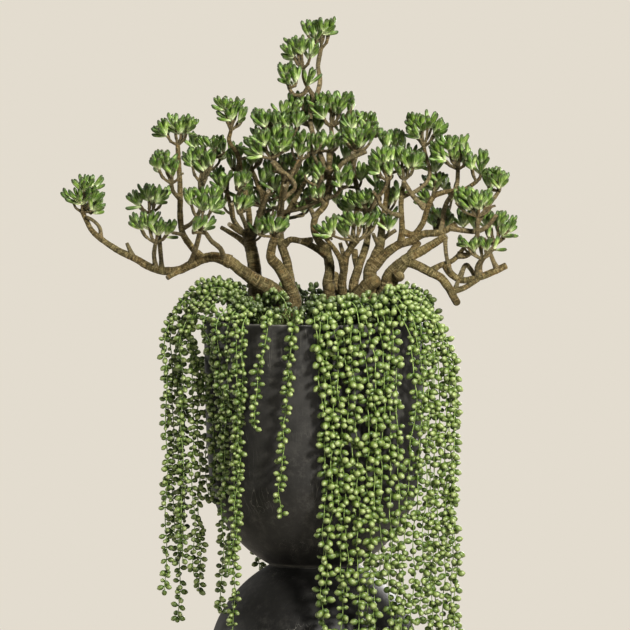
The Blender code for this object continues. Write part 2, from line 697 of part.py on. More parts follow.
def pearl_stations(points, stagger):
    """Pearls at even steps along a strand, the last one at its tip."""
    lengths = [0.0]
    for a, b in zip(points, points[1:]):
        lengths.append(lengths[-1] + (b - a).length)
    arch = [lengths[2] + stagger, lengths[3] + stagger]
    drop = lengths[-1] - PEARL_HALF_LENGTH - arch[-1]
    count = max(1, round(drop / PEARL_SPACING))
    places = arch + [arch[-1] + drop * (k + 1) / count for k in range(count)]
    return lengths, places


def point_at(points, lengths, place):
    """The point a given length along a path."""
    i = 0
    while place > lengths[i + 1] and i < len(points) - 2:
        i += 1
    share = (place - lengths[i]) / (lengths[i + 1] - lengths[i])
    return points[i].lerp(points[i + 1], share)


def make_strand(points, stagger):
    """A string with a pearl swelling out of it at each place."""
    lengths, places = pearl_stations(points, stagger)
    stations = [points[0], points[1]]
    radii = [STRING_RADIUS, STRING_RADIUS]
    shifts = [0.0, 0.0]
    for i, place in enumerate(places):
        step = PEARL_SIDE_STEP if i % 2 else -PEARL_SIDE_STEP
        centre = point_at(points, lengths, place)
        ahead = point_at(points, lengths, place + 2 * PEARL_HALF_LENGTH)
        behind = point_at(points, lengths, place - 2 * PEARL_HALF_LENGTH)
        way = (ahead - behind).normalized()
        for offset, radius, shift in ((-PEARL_HALF_LENGTH, STRING_RADIUS, 0.0),
                                      (0.0, PEARL_RADIUS, step),
                                      (PEARL_HALF_LENGTH, STRING_RADIUS, 0.0)):
            stations.append(centre + way * offset)
            radii.append(radius)
            shifts.append(shift)
    return tube("strand", stations, radii, 3, shifts)


def make_bunch(name, strands, material):
    """Several strands grown out of one crown that stands in the soil."""
    bearing = sum(strand[0] for strand in strands) / len(strands)
    centre = crown_centre(bearing)
    bunch = prism(name, centre, CROWN_RADIUS, CROWN_SIDES, SOIL_TOP - CROWN_DEPTH,
                  SOIL_TOP + CROWN_ABOVE)
    tubes = []
    for i, strand in enumerate(strands):
        place = 2 * i / (len(strands) - 1) - 1
        tubes.append(make_strand(strand_path(*strand, bearing, place), STAGGER * (i % 2)))
    apply_boolean(bunch, tubes, "UNION", "MANIFOLD")
    keep_largest_body(bunch)
    bunch.data.materials.clear()
    bunch.data.materials.append(material)
    return bunch


def crown_centre(bearing):
    """Where a bunch's crown stands, as (x, y)."""
    angle = math.radians(bearing)
    return (CROWN_REACH * math.sin(angle), -CROWN_REACH * math.cos(angle))


def soil_holes():
    """Centre, radius, sides and depth of every hole in the soil."""
    holes = []
    for root in (ROOT_LEFT, ROOT_RIGHT):
        centre = ((root[0] - AXIS_U) * UNIT, root[1] * MM)
        holes.append((centre, root[2] * MM, ROOT_SIDES, ROOT_DEPTH))
    for _, strands in PEARL_BUNCHES:
        bearing = sum(strand[0] for strand in strands) / len(strands)
        holes.append((crown_centre(bearing), CROWN_RADIUS, CROWN_SIDES, CROWN_DEPTH))
    return holes


def head_place(tip, rise, head):
    """Name, foot, half width, height and sideways shift of the head on a twig's tip."""
    name, left, right, top = head
    foot = tip + Vector((0, 0, rise + GAP))
    tip_u = tip.x / UNIT + AXIS_U
    tip_v = RIM_V - (tip.z + tip.y * VIEW_SLOPE - RIM_HEIGHT) / UNIT
    shift = (0.5 * (left + right) - tip_u) * UNIT
    return "head_" + name, foot, 0.5 * (right - left) * UNIT, (tip_v - top) * UNIT, shift


def make_heads(plants, material):
    """The leaf heads of both plants, kept clear of the wood and of each other."""
    clearance = Clearance()
    for laid in plants:
        for points, radii, _, _ in laid:
            for i in range(len(points) - 1):
                clearance.add(points[i], points[i + 1], max(radii[i], radii[i + 1]), "wood")
    heads = []
    for laid in plants:
        for points, radii, _, head in laid:
            if head is not None:
                lean = (points[-1] - points[-2]).normalized()
                rise = radii[-1] * math.hypot(lean.x, lean.y)
                heads.append(head_place(points[-1], rise, head))
    for name, foot, half_width, height, shift in heads:
        levels = head_levels(foot, half_width, height, shift)
        for (low, r0), (high, r1) in zip(levels, levels[1:]):
            clearance.add(low, high, max(r0, r1), name)
    for seed, place in enumerate(heads):
        make_head(*place, clearance, material, seed)


def main():
    clear_scene()
    black = make_material("pot_black", POT_BLACK, POT_ROUGHNESS)
    earth = make_material("soil_brown", SOIL_BROWN, SOIL_ROUGHNESS)
    bark = make_material("bark_brown", BARK_BROWN, BARK_ROUGHNESS)
    leaf = make_material("leaf_green", LEAF_GREEN, LEAF_ROUGHNESS)
    pearl = make_material("pearl_green", PEARL_GREEN, PEARL_ROUGHNESS)
    make_bowl(black)
    make_base(black)
    make_soil(earth, soil_holes())
    left = lay_limbs(LEFT_LIMBS, ROOT_LEFT)
    right = lay_limbs(RIGHT_LIMBS, ROOT_RIGHT)
    make_stems("stems_left", left, ROOT_LEFT, bark)
    make_stems("stems_right", right, ROOT_RIGHT, bark)
    make_heads([left, right], leaf)
    for name, strands in PEARL_BUNCHES:
        make_bunch(name, strands, pearl)


main()
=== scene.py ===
"""Looks of a potted crassula with string-of-pearls strands in a tall hourglass pot.

Metres, +Z up, the front towards -Y. The plants' skeleton is laid as in the part's source,
from the same tables with some more twigs and strands, and finer wood, leaves and pearls
grow on it.
"""

import math
import random

import bpy
import numpy as np
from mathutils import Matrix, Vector, noise


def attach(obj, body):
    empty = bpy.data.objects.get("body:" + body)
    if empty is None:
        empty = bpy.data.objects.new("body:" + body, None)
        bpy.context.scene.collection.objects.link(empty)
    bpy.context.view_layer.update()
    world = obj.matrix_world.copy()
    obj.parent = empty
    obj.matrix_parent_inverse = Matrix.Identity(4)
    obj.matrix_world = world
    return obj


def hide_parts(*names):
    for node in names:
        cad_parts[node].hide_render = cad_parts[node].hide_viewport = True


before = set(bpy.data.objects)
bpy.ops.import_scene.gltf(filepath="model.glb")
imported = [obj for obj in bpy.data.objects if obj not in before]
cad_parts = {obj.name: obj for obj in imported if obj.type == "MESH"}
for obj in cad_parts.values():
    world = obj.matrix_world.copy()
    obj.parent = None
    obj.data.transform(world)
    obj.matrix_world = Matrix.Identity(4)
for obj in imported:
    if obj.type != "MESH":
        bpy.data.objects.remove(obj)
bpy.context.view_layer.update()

X, Y, Z = np.eye(3)
MM = 0.001
# Upper end, in radians, of the angles drawn for a random turn
ANY_TURN = 6.3

# The pot and its soil
RIM_RADIUS = 0.150
WAIST_RADIUS = 0.062
HALF_HEIGHT = 0.335
RIM_HEIGHT = 2 * HALF_HEIGHT
WALL = 0.008
RIM_ROLL = 0.0015
RIM_ROLL_DEPTH = 0.004
BOWL_FLOOR = 0.020
BASE_FLOOR = 0.009
NECK_RADIUS = 0.044
POT_SIDES = 144
POT_STEP = 0.009
INSIDE_STEP = 0.02
GAP = 0.0003
SOIL_DROP = 0.014
SOIL_TOP = RIM_HEIGHT - SOIL_DROP
SOIL_CLEARANCE = 0.0012
SOIL_RINGS = 34
SOIL_SIDES = 110
SOIL_EDGE = 0.004
CRUMBS = 420
CRUMB_SIZES = (0.0010, 0.0034)
# Lumps of the soil's top: where in the noise, how fine, and how high
SOIL_LUMPS = ((0, 42, 0.0022), (3, 170, 0.0012))

# The front drawing: one unit is 1.364 mm, with u to the right and v downwards
UNIT = 0.001364
AXIS_U = 314.0
RIM_V = 319.4
VIEW_SLOPE = math.sin(math.radians(3.0))
ROOTSTOCK_V = 312

# Limbs and twigs; a radius is the table's one scaled, and some units more
LIMB_SCALE = 1.10
LIMB_EXTRA = 0.42
LIMB_STEP = 0.0022
TWIG_RADIUS = 0.0017
TWIG_STEP = 0.003
TWIG_LIMIT = 0.0040
TWIG_PALENESS = 0.25
TWIG_BEND = np.array([0.66, 0.66, 0.42])
LIMB_COLLAR = 0.35
TWIG_COLLAR = 0.15
COLLAR_REACH = 2.4
# A cut or blunt end: how far each ring stands past the path's end, and its radius, both as
# shares of the last radius
KNOB_RADIUS = 0.005
KNOB_END = [(0.30, 0.96), (0.56, 0.83), (0.78, 0.62), (0.92, 0.35)]
CUT_END = [(0.06, 0.86), (0.08, 0.60)]
# Lumps of the bark: how fine, and how high as a share of the radius
BARK_LUMPS = ((75, 0.10), (210, 0.07))
SCAR_SPACING = 0.0072
SCAR_HEIGHT = 0.035
# Rings of a rootstock: share of its radius, and height above the soil
ROOTSTOCK_RINGS = [(1.0, -0.006), (1.18, 0.0), (1.16, 0.005), (1.02, 0.010), (0.8, 0.015),
                   (0.5, 0.0185), (0.2, 0.0195)]
ROOTSTOCK_SIDES = 40
ROOTSTOCK_TOP = 0.020
ROOTSTOCK_FOOT = 0.008
ROOTSTOCK_LUMP = 0.22
ROOTSTOCK_FINENESS = 60

# Leaves of the crassula: rings along a leaf, and what each leaf may differ in
LEAF_LENGTH = 0.0248
LEAF_RADIUS = 0.0030
LEAF_SIDES = 8
LEAF_STATIONS = np.array([0.0, 0.10, 0.28, 0.52, 0.76, 0.92, 1.0])
LEAF_WIDTHS = np.array([0.46, 0.60, 0.82, 0.97, 1.02, 0.90, 0.52])
LEAF_WIDE, LEAF_THICK = 1.04, 0.90
# Creases round a leaf: how many, and how deep
LEAF_CREASES = ((3, 0.07), (4, 0.06))
LEAF_SLANT = (0.10, 0.20)
LEAF_POINT = 0.22
POINT_STATION = 1.04
LEAF_START = 0.0008
LEAF_RADII = (0.88, 1.10)
LEAF_LENGTHS = (0.92, 1.10)
LEAF_BENDS = (0.02, 0.14)
LOWEST_WAY = -0.25

# Places tried for a leaf, the stations tested for room, and the overlap allowed with its
# own head and with anything else, as shares of its radius
TRIAL_SIZES = (1.0, 1.0, 1.0, 0.95, 0.88, 0.80, 0.72)
TRIAL_TURN = 0.30
TESTED_STATIONS = np.array([0.5, 0.68, 0.84, 0.97])[:, None]
OWN_OVERLAP = 0.26
OTHER_OVERLAP = 0.24
# How many capsules there is room for
ROOM_SIZE = 9000
WOOD_SIZE = 3000

# Rosettes: how many leaves, depths against the limb's end in mm, slopes of their axes
# towards the back, and the leaves' lean from the axis in degrees
ROSETTE_STEM = 0.005
FULL_COUNT = 10
BACK_COUNT = 5
SIDE_COUNT = 4
SPRIG_COUNT = 8
FRONT_DEPTHS = (-7, -3, -9, -1, 2, -5)
BACK_DEPTHS = (9, 13, 7, 16, 12, 10)
FRONT_SLOPE = -0.22
BACK_SLOPE = 0.35
BACK_LEAN = 0.8
SIDEWAYS_LEAN = 60
LEAST_LEAN, MORE_LEAN, LEAN_POWER = 4, 58, 0.85
LEAN_CHANGE = 6
SHORT_LEAF, LONGER_LEAF = 0.80, 0.24
GOLDEN_ANGLE = math.pi * (3.0 - math.sqrt(5.0))
# How far nearness to the front counts in the order of growth
FRONT_FIRST = 12

# Pearls: rings along one, the closeness allowed, and what each may differ in
PEARL_LENGTH = 0.0110
PEARL_WIDTH = 0.0084
PEARL_SIDES = 8
PEARL_ALONG = np.array([-0.92, -0.60, -0.05, 0.50, 0.90])
PEARL_WIDE = np.array([0.36, 0.82, 1.0, 0.87, 0.40])
PEARL_TIP = 0.54
PEARL_CLOSENESS = 0.84
CELL = 0.012
PAIR_SHARE = 0.85
PAIR_TURN = 1.25
TURN_CHANGE = 0.5
FIRST_PEARL = 0.010
SPACINGS = (0.75, 1.25)
PEARL_GAP = 0.0004
PEARL_TILTS = (-0.25, 0.75)
PEARL_SCALES = (1.0, 1.0, 1.05, 0.92, 0.85, 0.7)
SCALE_CHANGES = (0.93, 1.07)
# Turns round the string, and sizes, that are tried until a pearl has room
PEARL_TRIALS = ((0, 1), (0.8, 1), (-0.8, 1), (1.6, 0.9), (-1.6, 0.9), (0.3, 0.62))
# Painted shade on pearls low in the bowl: it starts below a height, is full this much lower, and
# fades in over this distance from the rim
PAINTED_SHADE_TOP = 0.716
PAINTED_SHADE_DEPTH = 0.020
PAINTED_SHADE_EDGE = 0.008
# No pearl lies on this patch of soil behind the front of the rim
BARE_X = (-0.078, -0.006)
BARE_V = 311.5
BARE_REACH = 0.130

# Strings, and their way out of the crown, over an arch and down past the shoulder
STRING_RADIUS = 0.0009
STRING_SIDES = 5
STRING_STEP = 0.004
STRING_TAPER = (1.15, 0.65)
STRAND_FOOT = 0.001
CROWN_REACH = 0.096
CROWN_SPREAD = 0.0052
RISE_REACH = 0.110
RISE_HEIGHT = 0.026
ARCH_HEIGHT = 0.048
ARCH_SHOULDER = 0.029
SHOULDER_IN = 0.012
LEAST_SHOULDER = 0.157
TURN_SHARES = (0.55, 0.95, 1.0)
POT_CLEARANCE = 0.009
# A strand is a far one from FAR_START out, and wholly so FAR_RANGE further out
FAR_START = 0.168
FAR_RANGE = 0.024
FAR_RISE = 0.016
FAR_SHOULDER = 0.004
FAR_ARCH = 0.055
FAR_FALL = 0.042
# Sideways waves of a string as length and height, and its waves away from the pot
SIDE_WAVES = ((0.093, 0.0016), (0.041, 0.0008))
DEPTH_WAVE = (0.120, 0.0016)
SWING_START = 0.03
SWING_RANGE = 0.08

# Low arches of pearls, and bare stems that arch out of the soil: shares of reach and height
MOUND_REACH = 0.030
MOUND_LIMIT = 0.136
MOUND_CHANGES = (0.8, 1.2)
MOUND_ARCH = ((-1.0, 0.0), (-0.62, 0.72), (0.0, 1.0), (0.62, 0.66), (1.0, 0.15))
BLADES = 22
BLADE_RADIUS = 0.0006
BLADE_REACH = 0.034
BLADE_HEIGHT = 0.031
BLADE_ARCH = ((0.0, 0.001), (0.10, 0.60), (0.45, 1.0), (0.80, 0.72), (1.0, 0.20))
BLADE_STEP = 0.003
BLADE_TAPER = (1.2, 0.5)
BLADE_U = (272, 312)
BLADE_DEPTHS = (-104, -78)
BLADE_TURNS = (-0.7, 0.9)

# Camera, lights, floor and backdrop
FRAME_SIDE = 630
CAMERA_ELEVATION = 3.0
CAMERA_DISTANCE = 10.0
SENSOR_WIDTH = 36.0
CAMERA_TARGET = (0.00136, 0.0, 0.676)
LIGHT_TARGET = (0.0, 0.0, 0.72)
FLOOR_RADIUS = 2.0
FLOOR_DROP = 0.0005
FLOOR_SIDES = 96
BACKDROP = (0.797, 0.75, 0.666)
VIEW_GAMMA = 0.86
AMBIENT_COLOUR = (1.0, 0.97, 0.93)
AMBIENT_STRENGTH = 0.034
REFLECTED_STRENGTH = 0.42
# Name, place, width, power and colour of each light
LIGHTS = [
    ("key", (1.2, -2.3, 1.88), 0.5, 140.0, (1.0, 0.98, 0.94)),
    ("fill", (-0.7, -2.8, 0.7), 0.9, 8.5, (1.0, 0.99, 0.97)),
    ("top", (0.2, -0.3, 2.9), 0.8, 36.0, (1.0, 0.99, 0.97)),
    ("edge", (-2.3, 1.2, 0.5), 0.6, 20.0, (1.0, 0.97, 0.92)),
    ("back", (1.1, 2.7, 1.2), 1.2, 50.0, (1.0, 0.98, 0.95)),
]

# Outer outline of one half of the pot: radius and height above the waist, in mm
HALF_OUTLINE = [(76.5, 10), (103, 33), (118, 52), (131, 74), (141, 104), (144.6, 143)]
BOWL_INSIDE = [(136.6, 143), (131, 104), (110, 60), (78, 32)]
BASE_INSIDE = [(52, 12), (95, 40), (123, 76), (136.6, 143), (141, 326)]

# Rootstocks: u and depth in mm of the centre, then the radius in mm
ROOT_LEFT = (288, -10, 15)
ROOT_RIGHT = (357, 5, 22)

# A limb: first and last radius in units, depth of its end in mm, its points as (u, v), and
# for one with a head the head's name, left u, right u and top v. A limb that starts below
# ROOTSTOCK_V rises from the rootstock, and any other from the nearest limb laid before it.
LEFT_LIMBS = [
    (8.5, 4.4, -35, [(288, 316), (284, 300), (273, 290), (258, 282), (243, 271.5), (231, 262)]),
    (4.3, 1.8, 5, [(231, 262), (212, 257), (203, 259), (193, 264), (179, 270), (165, 271),
     (149.5, 266.7), (138, 260), (117, 249.5), (104, 241), (91, 229), (86, 219), (82.5, 212)],
     "far_left", 60, 106, 172),
    (2.4, 1.8, -38, [(181, 270), (168, 278)]),
    (1.8, 1.3, -10, [(134, 257.5), (127, 243)]),
    (1.8, 1.5, -25, [(156, 269.5), (154.5, 255), (156, 243)], "left_low", 128, 180, 209),
    (1.8, 1.5, 35, [(162, 271), (160, 246), (158, 230), (149.5, 213)],
     "left_middle", 122, 171, 181),
    (2.8, 1.7, -5, [(203, 259), (191, 246), (183, 233), (180.6, 215), (180.6, 197), (178, 145)],
     "left_upper", 151, 199, 112),
    (1.6, 1.4, -45, [(181, 199), (174, 192), (172, 184)], "left_inner", 148, 182, 148),
    (1.4, 1.1, -40, [(182, 236), (173, 233)]),
    (1.6, 1.4, 20, [(181, 229), (191, 224), (199, 213), (199.5, 181)],
     "left_centre", 180, 216, 144),
    (1.4, 1.2, 55, [(200, 198), (210, 158)], "left_behind", 195, 226, 132),
    (2.0, 1.6, -70, [(189, 262), (197, 246), (203, 222)], "left_front", 183, 226, 184),
    (2.2, 1.6, -104, [(225, 261), (221, 249), (212, 241), (207, 234)],
     "left_front_low", 195, 220, 215),
    (8.0, 5.0, 15, [(288, 318), (270, 311), (259, 300), (255, 283), (254, 265), (249.5, 240)]),
    (2.8, 1.5, 45, [(250, 248), (239, 238), (221, 227)]),
    (2.4, 1.5, -10, [(249.5, 240), (233, 218), (231, 207), (227, 192)],
     "middle_left", 207, 233, 170),
    (1.6, 1.4, -34, [(231, 206), (237, 198), (240, 192)], "middle_left_inner", 233, 253, 167),
    (2.6, 1.8, 40, [(250, 242), (259, 222), (263, 208), (256, 180), (251, 169)],
     "middle_behind", 246, 264, 147),
    (1.8, 1.5, 60, [(263, 206), (269, 190), (277, 140)], "crown_left", 251, 306, 105),
    (2.0, 1.5, -40, [(249.5, 240), (246, 226), (241, 214)], "middle_low", 233, 256, 191),
    (2.6, 1.5, 10, [(249.5, 240), (249, 215), (241, 172), (237, 153), (229, 140), (231, 130)],
     "upper_middle_left", 211, 249, 94),
    (7.0, 3.2, -40, [(290, 318), (293.5, 300), (287, 281), (278, 266), (271, 257), (272.5, 246),
     (275, 237)], "front_low_left", 256, 290, 214),
    (4.2, 2.2, 15, [(291, 290), (287, 262), (281, 242), (280.6, 209), (282, 196), (285, 180)]),
    (1.8, 1.5, -35, [(285, 181), (281, 170), (271, 159)], "crown_front_left", 242, 295, 121),
    (1.8, 1.5, -22, [(285, 180), (295, 172), (301, 160)], "crown_front_inner", 292, 310, 128),
    (1.6, 1.3, -48, [(281, 213), (290, 211), (304, 208), (320, 201)],
     "centre_front_low", 306, 326, 184),
    (1.6, 1.2, 20, [(281, 210), (273, 207)]),
    (1.5, 1.3, 34, [(241, 178), (236, 170)], "upper_behind_left", 226, 246, 142),
    (1.5, 1.3, 30, [(285, 184), (286, 173)], "crown_low_inner", 277, 297, 149),
    (1.4, 1.2, -2, [(101, 238), (100, 228), (94, 221), (87, 217)]),
    (2.6, 1.8, 36, [(281, 226), (292, 204), (306, 180)]),
    (1.2, 1.0, -30, [(287, 179), (295, 187)]),
    (1.9, 1.6, -58, [(252, 236), (260.6, 210), (268.3, 192)]),
    (1.6, 1.4, -52, [(281, 216), (283.6, 196), (285, 186)]),
    (1.5, 1.0, -34, [(283.5, 196), (290, 179.5), (298.6, 160)]),
    (1.7, 1.4, -50, [(286, 200), (295, 187), (286, 174), (279, 170.5), (272, 162)]),
    (2.6, 2.2, -30, [(282, 246), (290, 240), (301.4, 241), (312, 240)]),
    (2.3, 1.8, -60, [(256, 238), (243, 233.5), (230, 225)]),
    (1.6, 1.3, -62, [(243, 233), (235, 221.6), (232.6, 204)]),
]
RIGHT_LIMBS = [
    (6.0, 3.6, -12, [(355, 318), (340, 309), (330, 297), (328, 284), (329.5, 270), (327, 250)]),
    (3.0, 2.3, -35, [(327, 255), (318, 249.5), (309, 244.5), (300, 241)]),
    (3.0, 1.8, 8, [(327, 250), (319, 241), (314, 230), (316, 216), (325, 205), (328, 192),
     (329, 151)], "crown_inner", 321, 343, 130),
    (1.6, 1.4, -22, [(328, 172), (345, 162), (356, 152)], "crown_front_right", 341, 377, 125),
    (1.5, 1.3, -22, [(328, 174), (318, 164), (313, 154)], "crown_front_middle", 308, 326, 128),
    (1.5, 1.3, -16, [(325, 206), (320, 196), (318, 186)], "centre_upper", 310, 325, 160),
    (1.5, 1.3, -25, [(328, 199), (336, 195), (341, 189)], "centre_right", 331, 355, 162),
    (1.8, 1.5, 45, [(328.5, 165), (333, 145), (331, 126)], "crown_top", 304, 355, 89),
    (2.2, 1.6, 80, [(328, 176), (319, 150), (311, 125), (311, 105), (318, 90), (320, 78),
     (318, 66), (321, 47)], "tip_upper", 301, 339, 14),
    (1.6, 1.3, 55, [(317, 98), (309, 88), (304, 78), (303.5, 67)], "tip_left", 280, 321, 32),
    (1.5, 1.3, 50, [(308, 87), (301, 94), (293, 93), (289, 87)], "tip_low", 276, 303, 59),
    (1.6, 1.4, 66, [(311, 128), (303, 118)], "crown_middle", 285, 318, 88),
    (5.0, 2.0, -48, [(356, 317), (345, 303), (342, 285), (344, 269), (346, 257), (351, 248),
     (357, 241)], "front_low_right", 334, 380, 211),
    (2.0, 1.3, -30, [(345, 262), (340, 243)]),
    (2.4, 1.5, -60, [(343, 270), (338, 255), (331, 245), (326, 239)],
     "front_low_middle", 310, 341, 212),
    (1.8, 1.4, 5, [(350, 249), (353, 232), (356, 210)], "centre_right_low", 340, 370, 188),
    (5.0, 2.0, 34, [(357, 316), (354, 300), (354, 283), (358, 269), (366, 246), (370, 222)]),
    (1.8, 1.3, 62, [(370, 222), (358, 187), (354, 172), (364, 134)], "crown_right", 351, 377, 108),
    (1.5, 1.3, 12, [(370, 224), (368, 212)], "right_behind_low", 358, 378, 185),
    (9.0, 2.6, 15, [(359, 317), (368, 303), (371, 285), (370, 273), (376, 256), (380, 246),
     (382, 226)]),
    (2.4, 1.5, 55, [(382, 228), (388, 185), (390, 150)], "right_behind", 375, 404, 126),
    (7.6, 6.0, -16, [(350, 308), (361, 294), (368, 285.5), (374, 281.5)]),
    (1.8, 1.3, -5, [(380, 248), (373, 234)]),
    (1.8, 1.3, 10, [(382, 240), (396, 230)]),
    (4.2, 2.4, -15, [(373, 267), (389, 251), (400, 244), (411, 241), (421, 235), (441.5, 232),
     (456, 224)]),
    (2.2, 1.6, -24, [(450, 228), (466, 231), (476, 231.5), (485, 228), (496, 215)]),
    (2.6, 1.7, -8, [(401, 244), (402, 230), (401, 202), (404, 180)],
     "right_middle", 394, 426, 141),
    (1.8, 1.3, -38, [(401, 216), (389, 212), (378, 199), (385, 188), (387, 181)],
     "right_front", 366, 396, 143),
    (1.4, 1.1, -40, [(378, 199), (373, 192)]),
    (2.4, 1.5, -20, [(402, 232), (414, 234), (421, 226), (428, 207), (433, 197), (442, 193),
     (467, 188), (476, 182)], "right_outer", 464, 489, 146),
    (1.5, 1.2, 15, [(426, 210), (411.6, 193)]),
    (1.5, 1.3, 25, [(403, 197), (416, 191), (428, 180), (424, 146)], "right_upper", 404, 450, 107),
    (1.4, 1.2, 50, [(432, 199), (434, 192)], "right_inner", 419, 450, 169),
    (2.0, 1.5, 5, [(441, 232), (446, 204), (456.5, 186), (458, 169)],
     "right_upper_outer", 426, 471, 133),
    (1.6, 1.4, 45, [(430, 233), (438, 229)], "right_low_behind", 426, 454, 204),
    (7.5, 2.6, -30, [(360, 315), (377, 307), (386, 287), (389, 276), (396, 267.5), (405, 260),
     (425, 249), (446, 236)]),
    (3.4, 4.6, -24, [(392, 269), (396, 273), (399, 276.5)]),
    (3.2, 2.9, 6, [(410, 257), (414, 249), (418, 243)]),
    (4.0, 3.2, -35, [(404, 261), (416, 265), (434, 274.6), (440, 277.5), (446, 284.5),
     (456, 302)]),
    (2.4, 1.5, -30, [(430, 272), (437, 267), (453, 260), (465, 246)]),
    (2.2, 1.5, -45, [(457, 255), (465.5, 255.5), (474.6, 243), (477, 217)],
     "right_outer_low", 453, 495, 185),
    (1.5, 1.3, 5, [(477, 224), (491, 202), (499, 191)], "right_edge", 483, 510, 165),
    (2.9, 2.6, -5, [(446, 265), (449, 272), (461, 280), (479, 277), (497, 270), (506, 265.5)]),
    (1.6, 1.4, -32, [(445, 238), (446, 256), (450, 272)]),
    (2.3, 2.0, -20, [(452, 290), (461, 289), (478, 279)]),
    (1.8, 1.4, 0, [(480, 276), (480, 265), (490, 250.5), (497, 243)],
     "right_edge_low", 488, 518, 207),
    (1.5, 1.3, -42, [(476, 278), (477, 265), (481, 259)], "right_low", 456, 506, 235),
    (1.9, 1.6, -8, [(459, 279), (466, 265), (475, 276)]),
    (1.8, 1.5, -22, [(317, 219), (310, 208), (306, 199)]),
    (2.0, 1.7, -30, [(328, 200), (344, 162), (366, 152)]),
    (1.8, 1.5, -26, [(353, 200), (356, 184), (353.7, 169), (352.4, 153)]),
    (2.1, 1.6, -26, [(424, 208), (413.7, 197), (403, 181)]),
    (5.5, 4.0, 30, [(336, 306), (337, 288), (334.5, 276)]),
    (8.6, 4.8, -14, [(380, 308), (387, 291), (391, 280), (399, 268.5), (405, 261)]),
    (6.5, 4.5, -12, [(331, 306), (329, 295), (330, 287)]),
    (2.7, 2.5, 34, [(358, 267), (355.5, 258), (354.5, 250)]),
    (1.9, 1.5, -12, [(497, 269), (493, 261), (490.5, 254)]),
    (1.7, 1.5, -22, [(454, 287), (458, 280)]),
]

